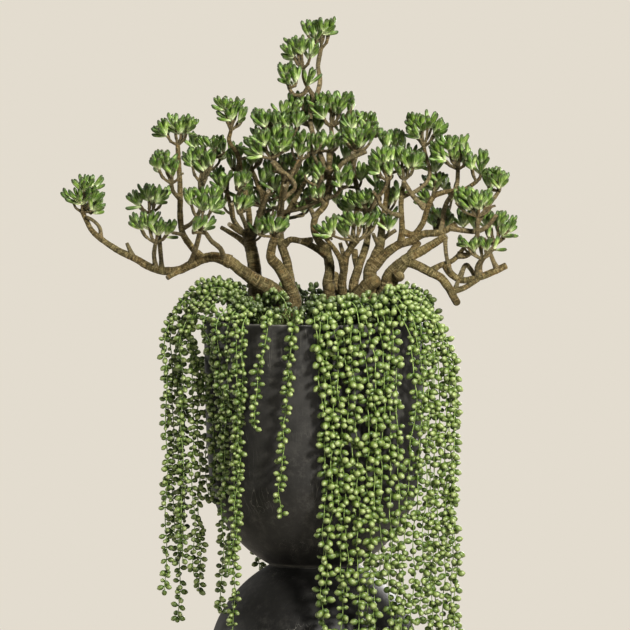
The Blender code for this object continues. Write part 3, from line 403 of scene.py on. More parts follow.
# Rosettes of each head: u and v of the point where their leaves meet, and how far they
# lean to the right in degrees
ROSETTES = {
    "far_left": [(82, 205, -22), (89, 203.5, 8), (91.5, 211, 50), (72.5, 202, -78), (92, 191, 6),
        (84, 193, -12)],
    "left_low": [(143.3, 230.3, -32), (157.3, 236, 12), (166.3, 235.4, 55), (150, 229, -4)],
    "left_middle": [(141.4, 206.7, -40), (148.4, 201, -4), (154.8, 202.9, 24), (163, 199, 22)],
    "left_upper": [(167.6, 136.6, -38), (181, 134.8, -8), (187, 133, 42), (176, 130, -8)],
    "left_inner": [(160.5, 171, -34), (173.3, 176.7, -3), (181, 175.3, 70), (168, 166, -8)],
    "left_centre": [(192.4, 166.5, -26), (203.9, 171.6, 6), (211.5, 166.5, 28), (202, 160, 0)],
    "left_behind": [(224, 151, -30), (204.5, 147.4, -14), (213, 149, -6), (199, 156, -20)],
    "left_front": [(193, 206.7, -26), (203.3, 211.8, -6), (211.5, 211.8, 58), (214.7, 202, 10),
        (204, 200, -4)],
    "left_front_low": [(196.3, 232.2, -4), (204.5, 231, 34)],
    "middle_left": [(224.3, 191.4, -22), (228, 184, 6), (219, 183, -12)],
    "middle_left_inner": [(238, 188.5, -12), (241.5, 189.6, 30), (246, 184, 18)],
    "middle_behind": [(251.5, 165, -12), (257, 162, 14), (262, 157, 8)],
    "crown_left": [(261, 125, -52), (268, 122, -12), (277, 124.6, -6), (288.7, 123.4, 2),
        (298.5, 124.6, 18), (272, 116, -6), (284, 114, 0)],
    "middle_low": [(238.3, 212.7, -14), (243, 210, 40), (238, 204, 4)],
    "upper_middle_left": [(231.3, 121, -24), (237.7, 122.6, 36), (226, 112, -16), (234, 111, 4)],
    "front_low_left": [(259.3, 235, 8), (270.8, 233.7, 10), (275, 232, 50), (284, 228, 20)],
    "crown_front_left": [(263.2, 157, -46), (274.6, 155.3, -6), (281.5, 152.7, 30),
        (266, 147, -22), (276, 144, 2), (286, 146, 20)],
    "crown_front_inner": [(298.2, 156.5, -4), (309, 153.3, 8), (303, 145, 6)],
    "centre_front_low": [(320, 198.6, -34), (313, 199, -8), (322, 194, 14)],
    "upper_behind_left": [(238, 160, -4), (232, 168, -35), (241, 152, 6)],
    "crown_low_inner": [(286, 171.2, -4), (276, 171.6, -72), (292, 168, 22), (283, 165, -14)],
    "crown_inner": [(329.5, 149.5, -4), (321, 150.5, -20), (337, 148, 20), (330, 141, 4)],
    "crown_front_right": [(359.5, 148.2, -2), (348.6, 143.8, -42), (368.5, 145, 34),
        (353, 141, -14), (364, 139, 8)],
    "crown_front_middle": [(317, 151, 0), (312, 148, -22), (321, 145, 12)],
    "centre_upper": [(305.3, 178.2, -4), (318.6, 182, -12), (321, 176, 8)],
    "centre_right": [(340.3, 187.8, -10), (347, 186, 22), (341, 178, 0)],
    "crown_top": [(324.4, 118.3, -16), (339, 113.2, -2), (348.6, 110.6, 34), (331, 108, -8),
        (342, 105, 4), (321, 108, -14), (351, 106, 16), (334, 112, -14)],
    "tip_upper": [(308.8, 34.9, -32), (316.3, 38.2, -4), (321.7, 33, 26), (329.4, 31.5, 12),
        (316, 35, -8)],
    "tip_left": [(293.9, 56.4, -32), (301.8, 53.1, -6), (310.1, 56.8, 16), (297, 49, -14)],
    "tip_low": [(289.8, 83.8, -34), (296.4, 82.1, 4), (287, 76, -20)],
    "crown_middle": [(293.8, 107, -30), (302.7, 106, -4), (311, 108, 4), (298, 104, -10),
        (306, 114, 0)],
    "front_low_right": [(334, 236.6, -64), (348.6, 236.3, -26), (357.6, 227.5, -4),
        (366.5, 229, 6), (373, 226, 20), (352, 226, -14)],
    "front_low_middle": [(331, 236.5, -48), (334, 233, -12)],
    "centre_right_low": [(356.3, 207.6, -52), (362.2, 208, -10), (366, 204, 16), (357, 200, -16)],
    "crown_right": [(357.6, 123.5, -8), (370.3, 127.2, 14), (377, 135, 34), (364, 121, 2)],
    "right_behind_low": [(363, 205, -8), (371, 206, 10), (375, 199, 20)],
    "right_behind": [(383, 142.5, -16), (394.5, 146.3, -2), (402, 149, 22), (389, 137, -4),
        (398, 141, 10)],
    "right_middle": [(400.3, 175.7, -18), (408.6, 169.3, 22), (413, 168, 54), (402, 163, -4),
        (396, 166, -12)],
    "right_front": [(379.9, 174.4, -36), (390.7, 177, -6), (384, 165, -14), (391, 166, 8)],
    "right_outer": [(472.2, 170.6, -20), (479.9, 175.7, 14), (482, 168, 30)],
    "right_upper": [(420.2, 138, -38), (422.6, 131.5, 2), (433, 135, 56), (428, 128, 22),
        (416, 129, -20)],
    "right_inner": [(435, 189, -30), (444.7, 190, 8), (439, 182, -8)],
    "right_upper_outer": [(446.7, 161.4, -58), (454.9, 160.4, -14), (466.1, 161.4, 12),
        (449, 151, -14), (460, 150, 6), (441, 155, -30)],
    "right_low_behind": [(436.5, 228.1, -30), (447.3, 229, 8), (440, 218, -10), (449, 219, 8)],
    "right_outer_low": [(457.2, 205.8, -38), (471, 210.7, -36), (477.9, 209.9, 0),
        (484, 208.2, 22), (491.2, 207, 74), (468, 201, -12), (477, 199, 4)],
    "right_edge": [(499.5, 189, 14), (491.6, 188.5, -34), (497, 181, -6)],
    "right_edge_low": [(489.6, 238.1, -50), (502, 236.8, 24), (497.8, 227.5, 10), (507, 232, 58),
        (490, 229, -16)],
    "right_low": [(466.3, 247.2, -58), (473.8, 253, 4), (486, 251.4, -14), (492.5, 250, 88),
        (481, 247, -6)],
}

# Sprigs that grow out of the nearest limb, under the head whose piece holds them: u and v
# of the leaves' foot, lean in degrees and depth in mm
SPRIGS = {
    "tip_low": [(307.2, 85, 12, 50)],
    "left_behind": [(232, 158, -16, 52), (219, 160, 6, 60), (196, 150, -10, 48),
        (206, 176, -6, 60), (216, 184, 8, 56)],
    "middle_behind": [(244, 200, -12, 42), (262, 186, 14, 40), (262, 206, -10, 56),
        (252, 197, -10, 60)],
    "middle_left": [(224, 207, -24, 18)],
    "crown_low_inner": [(275, 191, -26, 36), (271, 178, 4, 44), (296, 186, 10, 40),
        (280, 202, -14, 58), (291, 207, 8, 62), (301, 201, 16, 58), (266, 198, -20, 55),
        (285, 191, 0, 66), (273, 211, -8, 60)],
    "crown_left": [(262, 142, -30, 62), (290, 140, 6, 66), (277, 129, -4, 28), (266, 127, -20, 30),
        (297, 127.5, 16, 26), (288, 128.5, 4, 24), (283, 118, 0, 50), (292, 116, 4, 52)],
    "centre_front_low": [(304, 214, -14, 30), (296, 202, -4, 46), (308, 209, 6, 62),
        (313, 198, 10, 60), (301, 188, 0, 68)],
    "centre_upper": [(312, 170, -6, 42), (336, 172, 10, 46), (322, 197, -8, 58)],
    "crown_top": [(318, 130, -10, 66), (340, 132, 10, 64)],
    "crown_inner": [(345, 160, 20, 44), (320, 182, -6, 66)],
    "centre_right": [(361.4, 180.8, 0, 40), (352, 176, -10, 52), (338, 204, 0, 60)],
    "right_behind_low": [(381, 199, -12, 44), (389, 206, 4, 38), (396, 200, 14, 42),
        (386, 222, -4, 34), (388.5, 231, 4, -6), (378, 188, -10, 50), (372, 216, -6, 50),
        (364, 212, -14, 56)],
    "right_inner": [(431.4, 202, -48, 36), (452, 200, 12, 40)],
    "right_low_behind": [(463.8, 227.3, -12, 38)],
    "right_outer_low": [(474.6, 229, 0, 30), (486, 228, 12, 26)],
    "right_behind": [(410, 160, 10, 46), (388, 149, -4, 30)],
    "right_upper_outer": [(436, 172, -20, 40)],
    "front_low_left": [(260.5, 236, 0, -6), (268, 225, -16, 50)],
    "centre_right_low": [(349, 214, -18, 32), (344, 232, -10, 46)],
    "crown_front_inner": [(304, 178, 6, 64)],
    "crown_front_left": [(268, 176, -10, 64), (280, 174, 4, 68), (292, 148, 14, -4),
        (258, 152, -30, 10)],
    "upper_behind_left": [(244, 176, 8, 60)],
    "crown_middle": [(301, 122, -8, 56), (309, 124, 4, 58)],
    "crown_right": [(352, 130, -10, 30), (366, 138, 6, 30)],
    "right_middle": [(404, 172, 4, 12)],
}

# Bunches of pearls: the crown's bearing in degrees from the front towards +X, the size of
# its pearls against the usual one, their spacing along a string in metres, and the strands
# as (reach in mm from the axis, height of the arch as a share, points that it hangs through)
PEARL_BUNCHES = {
    "pearls_left_outer": (-72, 0.86, 0.0072, [
        (203, 1.03, [(166, 345), (166.5, 370), (167.5, 430), (166, 590)]),
        (197, 1.06, [(170, 340), (173, 365), (173.5, 430), (174, 540)]),
        (188, 1.0, [(177, 340), (179, 365), (180, 430), (179.5, 618)]),
        (184, 0.94, [(183, 335), (183, 365), (183.5, 430), (183, 560)]),
        (176, 0.86, [(190, 330), (193, 355), (194.5, 400), (194, 450), (195.6, 574)]),
        (172, 0.8, [(193, 330), (198, 365), (199.5, 430), (201, 590)])]),
    "pearls_left_inner": (-44, 0.86, 0.0069, [
        (170, 0.78, [(188, 332), (194, 352), (201, 372), (208, 392), (213, 410), (214.5, 440),
         (214.5, 500)]),
        (167, 0.7, [(205, 326), (213, 345), (212.5, 362), (216, 380), (221, 398), (224, 430),
         (223, 470), (224, 520), (222, 611)]),
        (168, 0.52, [(219, 325), (220, 355), (222, 385), (227, 410), (225.5, 440), (226, 490)]),
        (166, 0.44, [(229, 326), (229, 355), (229, 385), (233, 410), (236.5, 440), (237, 500),
         (236, 560), (234, 629)]),
        (165, 0.38, [(244, 326), (244, 350), (243, 385), (241, 410), (240, 440), (239, 480),
         (236, 520), (230, 571)]),
        (169, 0.45, [(237, 326), (237.5, 350), (240, 380), (239, 420), (239, 470)])]),
    "pearls_front": (-20, 0.92, 0.0078, [
        (163, 0.3, [(270.5, 318), (266.5, 340), (260.5, 368), (257, 395), (255, 412),
         (256.5, 427)]),
        (163, 0.3, [(297, 316), (292.5, 330), (291.5, 345), (290, 365), (287.5, 388), (285.5, 420),
         (284, 445), (281, 470), (282, 513)])]),
    "pearls_right_front": (19, 1.08, 0.011, [
        (163, 0.55, [(316, 322), (317, 345), (320, 380), (325, 440), (325, 490), (322, 560),
         (322.8, 645)]),
        (166, 0.5, [(320, 322), (321, 350), (324, 380), (330, 440), (332, 490), (326, 560),
         (325, 600)]),
        (163, 0.6, [(326, 324), (327, 350), (329.5, 380), (335, 440), (338, 490), (341, 560),
         (341.5, 690)]),
        (166, 0.52, [(334, 324), (336, 350), (338, 380), (341, 440), (345, 520), (347, 590)]),
        (163, 0.65, [(343, 324), (345, 350), (346.6, 380), (350, 440), (353.6, 490), (357, 560),
         (360, 670)]),
        (168, 0.6, [(349, 324), (351, 350), (353, 380), (356, 440), (358, 520)]),
        (164, 0.62, [(358, 324), (362, 350), (367, 380), (367, 440), (367, 490), (371, 560),
         (374, 625)]),
        (169, 0.66, [(367, 324), (371, 350), (374.3, 380), (374, 440), (373, 490), (369, 560),
         (366, 740)]),
        (165, 0.6, [(378, 324), (381, 350), (383, 380), (381, 440), (379, 500), (382, 570)]),
        (164, 0.52, [(385, 326), (387, 350), (388, 400), (389, 470), (388, 660)]),
        (169, 0.68, [(391, 324), (393, 350), (394, 380), (396.5, 440), (397, 490), (395, 700)])]),
    "pearls_right_outer": (64, 0.98, 0.0104, [
        (168, 0.76, [(402, 322), (408, 340), (414, 380), (410, 440), (405.8, 490), (402, 560),
         (401, 680)]),
        (173, 0.86, [(410, 318), (416, 340), (421, 380), (418, 440), (414.5, 500), (411, 600),
         (411, 720)]),
        (177, 0.84, [(417, 320), (421, 340), (426, 380), (426, 440), (424, 490), (421, 560),
         (419, 620)]),
        (182, 0.9, [(422, 320), (429, 345), (433, 380), (433, 440), (431, 560), (429, 650)]),
        (184, 0.88, [(425, 318), (432, 340), (437, 380), (438, 440), (437, 490), (434, 600),
         (433, 690)]),
        (190, 0.9, [(430, 320), (438, 340), (443, 380), (444, 440), (443, 500), (442, 600),
         (440, 725)]),
        (196, 0.9, [(434, 322), (442, 345), (447, 390), (449, 450), (450, 560), (450, 600),
         (448, 700)]),
        (202, 0.9, [(439, 326), (446, 342), (452, 375), (452.5, 440), (451, 490), (454, 560),
         (453, 640)])]),
    "pearls_behind_right": (125, 0.9, 0.0096, [
        (-170, 0.86, [(439, 326), (446, 350), (445, 560)]),
        (-165, 0.85, [(431, 322), (430, 400), (429, 650)]),
        (-164, 0.8, [(420, 322), (419, 480)]),
        (-163, 0.75, [(391, 322), (392, 600)]),
        (-164, 0.75, [(377, 322), (376, 690)])]),
    "pearls_behind_left": (213, 0.88, 0.0082, [
        (-164, 0.75, [(318, 322), (318, 520)]),
        (-163, 0.75, [(288, 322), (288, 620)]),
        (-164, 0.8, [(259, 322), (258, 400), (259, 574)]),
        (-165, 0.85, [(233, 322), (232, 430), (231, 560)]),
        (-167, 0.92, [(208, 322), (206, 430), (207, 500)]),
        (-174, 1.0, [(186, 322), (184, 430), (184, 540)])]),
}

# Low arches that make the mound: the bunch that holds them, how many, and the ranges of
# their middle's u, its depth in mm, and the v of the arch's top
MOUNDS = [
    ("pearls_left_inner", 2, (238, 252), (-60, -40), (299, 304)),
    ("pearls_front", 3, (262, 284), (-75, -45), (293, 299)),
    ("pearls_right_front", 11, (308, 398), (-122, -40), (298, 312)),
    ("pearls_right_outer", 8, (394, 412), (-75, 30), (292, 305)),
    ("pearls_behind_right", 11, (330, 408), (0, 95), (288, 302)),
    ("pearls_behind_left", 11, (232, 318), (30, 105), (286, 302)),
]


class Shape:
    """Triangles of one piece, gathered before its mesh is made."""

    def __init__(self):
        self.vertices = []
        self.triangles = []
        self.traits = []
        self.slots = []
        self.count = 0

    def add(self, skin, traits, slot=0):
        """Add a (vertices, triangles) skin, with four traits for each vertex."""
        vertices, triangles = skin
        self.vertices.append(vertices)
        self.triangles.append(triangles + self.count)
        self.traits.append(np.broadcast_to(traits, (len(vertices), 4)))
        self.slots.append(np.full(len(triangles), slot))
        self.count += len(vertices)

    def piece(self, name, materials, node, slot):
        """Make the mesh, and let it stand for a CAD node."""
        triangles = np.concatenate(self.triangles).astype(np.int32)
        mesh = bpy.data.meshes.new(name)
        mesh.vertices.add(self.count)
        mesh.vertices.foreach_set("co", np.concatenate(self.vertices).astype(np.float32).ravel())
        mesh.loops.add(triangles.size)
        mesh.loops.foreach_set("vertex_index", triangles.ravel())
        mesh.polygons.add(len(triangles))
        mesh.polygons.foreach_set("loop_start", np.arange(0, triangles.size, 3, dtype=np.int32))
        mesh.polygons.foreach_set("material_index", np.concatenate(self.slots).astype(np.int32))
        mesh.update(calc_edges=True)
        mesh.shade_smooth()
        traits = mesh.attributes.new("traits", "FLOAT_COLOR", "POINT")
        traits.data.foreach_set("color", np.concatenate(self.traits).astype(np.float32).ravel())
        for material in materials:
            mesh.materials.append(material)
        made = linked(name, mesh)
        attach(made, "root")
        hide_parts(node)


def skin_of(rings, start=None, end=None):
    """Vertices and triangles of a tube through rings, with a point to close each end."""
    rows, columns = rings.shape[:2]
    around = np.arange(columns)
    beside = (around + 1) % columns
    low = np.arange(rows - 1)[:, None] * columns
    corners = [low + around, low + beside, low + columns + beside, low + columns + around]
    triangles = [np.stack([corners[i] for i in pick], axis=-1).reshape(-1, 3)
                 for pick in ((0, 1, 2), (0, 2, 3))]
    vertices = [rings.reshape(-1, 3)]
    count = rows * columns
    if start is not None:
        triangles.append(np.stack([beside, around, np.full(columns, count)], axis=-1))
        vertices.append(np.array(start, float).reshape(1, 3))
        count += 1
    if end is not None:
        last = (rows - 1) * columns
        triangles.append(np.stack([last + around, last + beside, np.full(columns, count)], axis=-1))
        vertices.append(np.array(end, float).reshape(1, 3))
    return np.concatenate(vertices), np.concatenate(triangles)


def ring_traits(along, around, third, fourth, ends):
    """Four traits for each point of the rings of a skin, then those of its two end points."""
    traits = np.stack(np.broadcast_arrays(along[:, None], around, third, fourth), axis=-1)
    return np.concatenate([traits.reshape(-1, 4), ends])


def circle(sides):
    """Evenly spread angles for the points of a ring."""
    return 2 * math.pi * np.arange(sides) / sides


def smooth_path(points, radii, step):
    """Points and radii at about every step of one smooth curve through the points."""
    points = np.array([tuple(p) for p in points])
    gaps = np.linalg.norm(np.diff(points, axis=0), axis=1)
    slopes = np.diff(points, axis=0) / gaps[:, None]
    ways = np.empty_like(points)
    ways[0], ways[-1] = slopes[0], slopes[-1]
    before, after = gaps[:-1, None], gaps[1:, None]
    ways[1:-1] = (slopes[:-1] * after + slopes[1:] * before) / (before + after)
    made = []
    wide = []
    for i, gap in enumerate(gaps):
        count = max(1, math.ceil(gap / step))
        t = (np.arange(count) / count)[:, None]
        made.append((2 * t**3 - 3 * t**2 + 1) * points[i] + (3 * t**2 - 2 * t**3) * points[i + 1]
                    + (t**3 - 2 * t**2 + t) * gap * ways[i] + (t**3 - t**2) * gap * ways[i + 1])
        wide.append(radii[i] + t[:, 0] * (radii[i + 1] - radii[i]))
    made.append(points[-1:])
    wide.append(np.array(radii[-1:]))
    return np.concatenate(made), np.concatenate(wide)


def unit(vectors):
    """Vectors scaled to length 1."""
    return vectors / np.linalg.norm(vectors, axis=-1, keepdims=True)


def lengths_along(points):
    """How far along a path each of its points lies."""
    return np.concatenate([[0], np.cumsum(np.linalg.norm(np.diff(points, axis=0), axis=1))])


def across_path(points):
    """Directions along a path, and two across each point, carried along without twist."""
    ahead = np.concatenate([points[1:], points[-1:]])
    behind = np.concatenate([points[:1], points[:-1]])
    along = unit(ahead - behind)
    sides = np.empty_like(points)
    side = Y if abs(along[0][1]) < 0.9 else X
    for i, way in enumerate(along):
        side = side - way * side.dot(way)
        side = side / math.sqrt(side.dot(side))
        sides[i] = side
    return along, sides, np.cross(along, sides)


def ring_points(centres, sides, others, radii):
    """Rings about the centres; radii has one number for each point of each ring."""
    angles = circle(radii.shape[1])
    around = sides[:, None] * np.cos(angles)[:, None] + others[:, None] * np.sin(angles)[:, None]
    return centres[:, None] + around * radii[:, :, None]


def drawn(u, v, depth):
    """A point of the front drawing, depth behind the pot's axis, in metres."""
    height = RIM_HEIGHT + (RIM_V - v) * UNIT - depth * VIEW_SLOPE
    return Vector(((u - AXIS_U) * UNIT, depth, height))


def nearest_on(paths, u, v):
    """The point and depth of the nearest limb already laid, seen in the drawing."""
    best = None
    for path in paths:
        for (u0, v0, d0), (u1, v1, d1) in zip(path, path[1:]):
            du, dv = u1 - u0, v1 - v0
            t = ((u - u0) * du + (v - v0) * dv) / (du * du + dv * dv)
            t = min(1.0, max(0.0, t))
            away = math.hypot(u0 + t * du - u, v0 + t * dv - v)
            if best is None or away < best[0]:
                best = (away, u0 + t * du, v0 + t * dv, d0 + t * (d1 - d0))
    return best[1:]


def lay_limbs(limbs, root):
    """Each limb as its points in metres, its radii in metres and its head, if any."""
    laid = []
    paths = []
    for first, last, end_depth, points, *head in limbs:
        if points[0][1] < ROOTSTOCK_V:
            u0, v0, d0 = nearest_on(paths, *points[0])
        else:
            u0, v0, d0 = (*points[0], root[1])
        flat = [(u0, v0), *points[1:]]
        steps = [math.dist(a, b) for a, b in zip(flat, flat[1:])]
        total = sum(steps)
        path = []
        radii = []
        done = 0.0
        for i, (u, v) in enumerate(flat):
            share = done / total
            path.append((u, v, d0 + share * (end_depth - d0)))
            radius = first + share * (last - first)
            radii.append((LIMB_SCALE * radius + LIMB_EXTRA) * UNIT)
            done += steps[i] if i < len(steps) else 0.0
        paths.append(path)
        laid.append(([drawn(u, v, d * MM) for u, v, d in path], radii, head))
    return laid


class Room:
    """Capsules already placed, for keeping leaves and pearls out of other pieces."""

    def __init__(self, size):
        self.first = np.zeros((size, 3))
        self.along = np.zeros((size, 3))
        self.length = np.ones(size)
        self.radii = np.zeros(size)
        self.owners = np.zeros(size, int)
        self.count = 0

    def add(self, start, end, radius, owner):
        """Add a capsule that belongs to an owner."""
        i = self.count
        self.first[i] = start
        self.along[i] = np.array(end) - np.array(start)
        self.length[i] = max(self.along[i].dot(self.along[i]), 1e-12)
        self.radii[i] = radius
        self.owners[i] = owner
        self.count += 1

    def left(self, points):
        """For each capsule, the least distance from its skin to any of the points."""
        n = self.count
        from_first = points[:, None] - self.first[:n]
        t = np.clip((from_first * self.along[:n]).sum(axis=2) / self.length[:n], 0.0, 1.0)
        away = np.linalg.norm(from_first - self.along[:n] * t[:, :, None], axis=2)
        return away.min(axis=0) - self.radii[:n]


def bark_limb(shape, points, radii, seed, step, collar, cut=False):
    """A limb with a swollen foot, lumps and leaf scars; a cut one has a pale flat end."""
    centres, wide = smooth_path(points, radii, step)
    lengths = lengths_along(centres)
    knob = cut and radii[-1] > KNOB_RADIUS
    if not knob:
        wide = wide * (1 + collar * np.exp(-(lengths / (COLLAR_REACH * radii[0])) ** 2))
    if cut:
        ahead = unit(centres[-1] - centres[-2]) * wide[-1]
        ways = KNOB_END if knob else CUT_END
        centres = np.concatenate([centres, [centres[-1] + far * ahead for far, _ in ways]])
        wide = np.concatenate([wide, [share * wide[-1] for _, share in ways]])
        lengths = np.concatenate([lengths, np.full(len(ways), lengths[-1])])
    cut = cut and not knob
    sides = int(min(20, max(8, round(6 + 900 * radii[0]))))
    _, side, other = across_path(centres)
    smooth = ring_points(centres, side, other, np.repeat(wide[:, None], sides, axis=1))
    relief = np.empty(smooth.shape[:2])
    for i in range(len(centres)):
        scar = max(0.0, math.sin(2 * math.pi * lengths[i] / SCAR_SPACING + seed)) ** 3
        for k in range(sides):
            place = Vector(smooth[i, k])
            lump = sum(noise.noise(place * fine) * high for fine, high in BARK_LUMPS)
            relief[i, k] = 1 + lump + SCAR_HEIGHT * scar
    rings = ring_points(centres, side, other, wide[:, None] * relief)
    pale = np.full((len(centres), 1), TWIG_PALENESS if radii[0] < TWIG_LIMIT else 0.0)
    if cut:
        pale[-2:] = 1.0
    ends = [[0, 0, 0, 0], [lengths[-1], 0, 0, 1.0 if cut else 0.0]]
    shape.add(skin_of(rings, centres[0], centres[-1]),
              ring_traits(lengths, np.arange(sides) / sides, (seed * 0.37) % 1.0, pale, ends))


def rootstock(shape, root, seed):
    """The lumpy foot that a plant's trunks rise from."""
    centre = Vector(((root[0] - AXIS_U) * UNIT, root[1] * MM, 0))
    radius = root[2] * MM
    rings = np.empty((len(ROOTSTOCK_RINGS), ROOTSTOCK_SIDES, 3))
    for i, (share, height) in enumerate(ROOTSTOCK_RINGS):
        for k in range(ROOTSTOCK_SIDES):
            angle = 2 * math.pi * k / ROOTSTOCK_SIDES
            point = centre + Vector((math.cos(angle), math.sin(angle), 0)) * radius * share
            lump = 1 + ROOTSTOCK_LUMP * noise.noise(point * ROOTSTOCK_FINENESS
                                                    + Vector((seed, 0, 0)))
            rings[i, k] = (centre.x + (point.x - centre.x) * lump,
                           centre.y + (point.y - centre.y) * lump,
                           SOIL_TOP + height * (0.4 + 0.6 * lump))
    foot, top = ((centre.x, centre.y, SOIL_TOP + rise) for rise in (-ROOTSTOCK_FOOT, ROOTSTOCK_TOP))
    shape.add(skin_of(rings, foot, top), (0.0, 0.0, 0.5, 0.0))


def leaf_skin(base, way, length, radius, bend, rng):
    """A plump finger leaf, creased lengthwise, with a blunt tip that ends in a point."""
    side = unit(np.cross(way, Z if abs(way[2]) < 0.97 else -Y))
    lift = np.cross(side, way)
    t = LEAF_STATIONS[:, None]
    centres = base + way * length * t + lift * length * bend * t * t
    angles = circle(LEAF_SIDES)
    crease = sum((deep * np.cos(many * angles + rng.uniform(0, ANY_TURN))
                  for many, deep in LEAF_CREASES), 1)
    wide = radius * LEAF_WIDTHS[:, None] * crease
    slant = np.zeros(len(LEAF_STATIONS))
    slant[-2:] = LEAF_SLANT
    rings = (centres[:, None] + side * (wide * np.cos(angles) * LEAF_WIDE)[:, :, None]
             + lift * (wide * np.sin(angles) * LEAF_THICK)[:, :, None]
             + way * (slant[:, None] * radius * np.sin(angles))[:, :, None])
    skin = skin_of(rings, base, centres[-1] + way * LEAF_POINT * radius)
    tint = rng.random()
    return skin, ring_traits(LEAF_STATIONS, np.arange(LEAF_SIDES) / LEAF_SIDES, tint, rng.random(),
                             [[0, 0, tint, 0.5], [POINT_STATION, 0, tint, 0.5]])


def leaf_ways(axis, count, rng):
    """A rosette's leaves: height on its stem, direction and share of the full length."""
    side = unit(np.cross(axis, Y if abs(axis[1]) < 0.9 else X))
    other = np.cross(axis, side)
    start = rng.uniform(0, ANY_TURN)
    made = []
    for k in range(count):
        share = (k + 0.35) / count
        polar = math.radians(LEAST_LEAN + MORE_LEAN * share ** LEAN_POWER
                             + rng.uniform(-LEAN_CHANGE, LEAN_CHANGE))
        azimuth = start + GOLDEN_ANGLE * k
        way = (axis * math.cos(polar)
               + (side * math.cos(azimuth) + other * math.sin(azimuth)) * math.sin(polar))
        made.append((ROSETTE_STEM * (1 - share), way, SHORT_LEAF + LONGER_LEAF * share))
    return made


def leaning(lean, towards_back):
    """A rosette's axis: leant to the right by degrees, and back by a slope."""
    angle = math.radians(lean)
    return unit(np.array([math.sin(angle), towards_back, math.cos(angle)]))


class Head:
    """A tuft of leaf rosettes on short twigs that fork from the end of a limb."""

    def __init__(self, index, tip, radius, name, outline):
        self.index = index
        self.name = name
        self.radius = radius
        self.rng = random.Random(index + 40)
        self.rosettes = []
        self.twigs = []
        for i, (u, v, lean) in enumerate(ROSETTES[name]):
            upright = abs(lean) < SIDEWAYS_LEAN
            lift = self.rng.uniform(-1.5, 1.5) * MM
            front = np.array(drawn(u, v, tip[1] + FRONT_DEPTHS[i % len(FRONT_DEPTHS)] * MM + lift))
            self.sprout(np.array(tip), front, leaning(lean, FRONT_SLOPE),
                        FULL_COUNT if upright else SIDE_COUNT, outline)
            if upright:
                depth = tip[1] + BACK_DEPTHS[i % len(BACK_DEPTHS)] * MM + lift
                u += self.rng.uniform(-3, 3)
                v += self.rng.uniform(-1, 3)
                back = np.array(drawn(u, v, depth))
                self.sprout(self.twigs[-1][1], back, leaning(BACK_LEAN * lean, BACK_SLOPE),
                            BACK_COUNT, outline)

    def sprout(self, start, foot, axis, count, outline=None):
        """A rosette on a twig from the start, with leaves that keep in an outline."""
        self.twigs.append([start, start + (foot - start) * TWIG_BEND, foot,
                           foot + axis * ROSETTE_STEM])
        self.rosettes.append((foot, axis, count, outline))

    def grow(self, shape, room):
        """Fill the rosettes with leaves, the front and outermost ones first."""
        heart = sum(rosette[0] for rosette in self.rosettes) / len(self.rosettes)
        wanted = []
        for foot, axis, count, outline in self.rosettes:
            for height, way, share in leaf_ways(axis, count, self.rng):
                if way[2] < LOWEST_WAY:
                    continue
                base = foot + axis * height
                outward = unit(base + way * LEAF_LENGTH - heart)
                rank = outward.dot(way) - FRONT_FIRST * foot[1] + self.rng.uniform(-0.1, 0.1)
                wanted.append((rank, base, way, share, outline))
        wanted.sort(key=lambda leaf: -leaf[0])
        for _, base, way, share, outline in wanted:
            self.place(shape, room, base, way, share, outline)

    def place(self, shape, room, base, way, share, outline):
        """Grow one leaf where it has room, a little turned or shortened if need be."""
        radius = LEAF_RADIUS * self.rng.uniform(*LEAF_RADII)
        length = LEAF_LENGTH * share * self.rng.uniform(*LEAF_LENGTHS)
        for trial, shorter in enumerate(TRIAL_SIZES):
            turned = way if trial == 0 else unit(
                way + TRIAL_TURN * np.array([self.rng.uniform(-1, 1), self.rng.uniform(-1, 1),
                                             self.rng.uniform(-0.3, 1)]))
            size = length * shorter
            start = base + turned * LEAF_START
            bend = self.rng.uniform(*LEAF_BENDS)
            rise = np.array([0, 0, bend * size])
            tip = start + turned * size + rise
            if outline is not None and not within(tip, outline, self.rng):
                continue
            points = start + turned * size * TESTED_STATIONS + rise * TESTED_STATIONS**2
            left = room.left(points) - radius
            own = room.owners[:room.count] == self.index
            if ((left[own] > -OWN_OVERLAP * radius).all()
                    and (left[~own] > -OTHER_OVERLAP * radius).all()):
                shape.add(*leaf_skin(start, turned, size, radius, bend, self.rng))
                room.add(start, tip, radius, self.index)
                return


def within(tip, outline, rng):
    """Whether a leaf's tip is inside its head's uneven outline, seen from the front."""
    left, right, top = outline
    u = AXIS_U + tip[0] / UNIT
    v = RIM_V - (tip[2] - RIM_HEIGHT + tip[1] * VIEW_SLOPE) / UNIT
    inset = rng.uniform(-0.5, 1.5)
    return left + inset < u < right - inset and v > top + rng.uniform(0.0, 4.0)


def crown_centre(bearing):
    """Where a bunch's crown stands, as (x, y)."""
    angle = math.radians(bearing)
    return (CROWN_REACH * math.sin(angle), -CROWN_REACH * math.cos(angle))


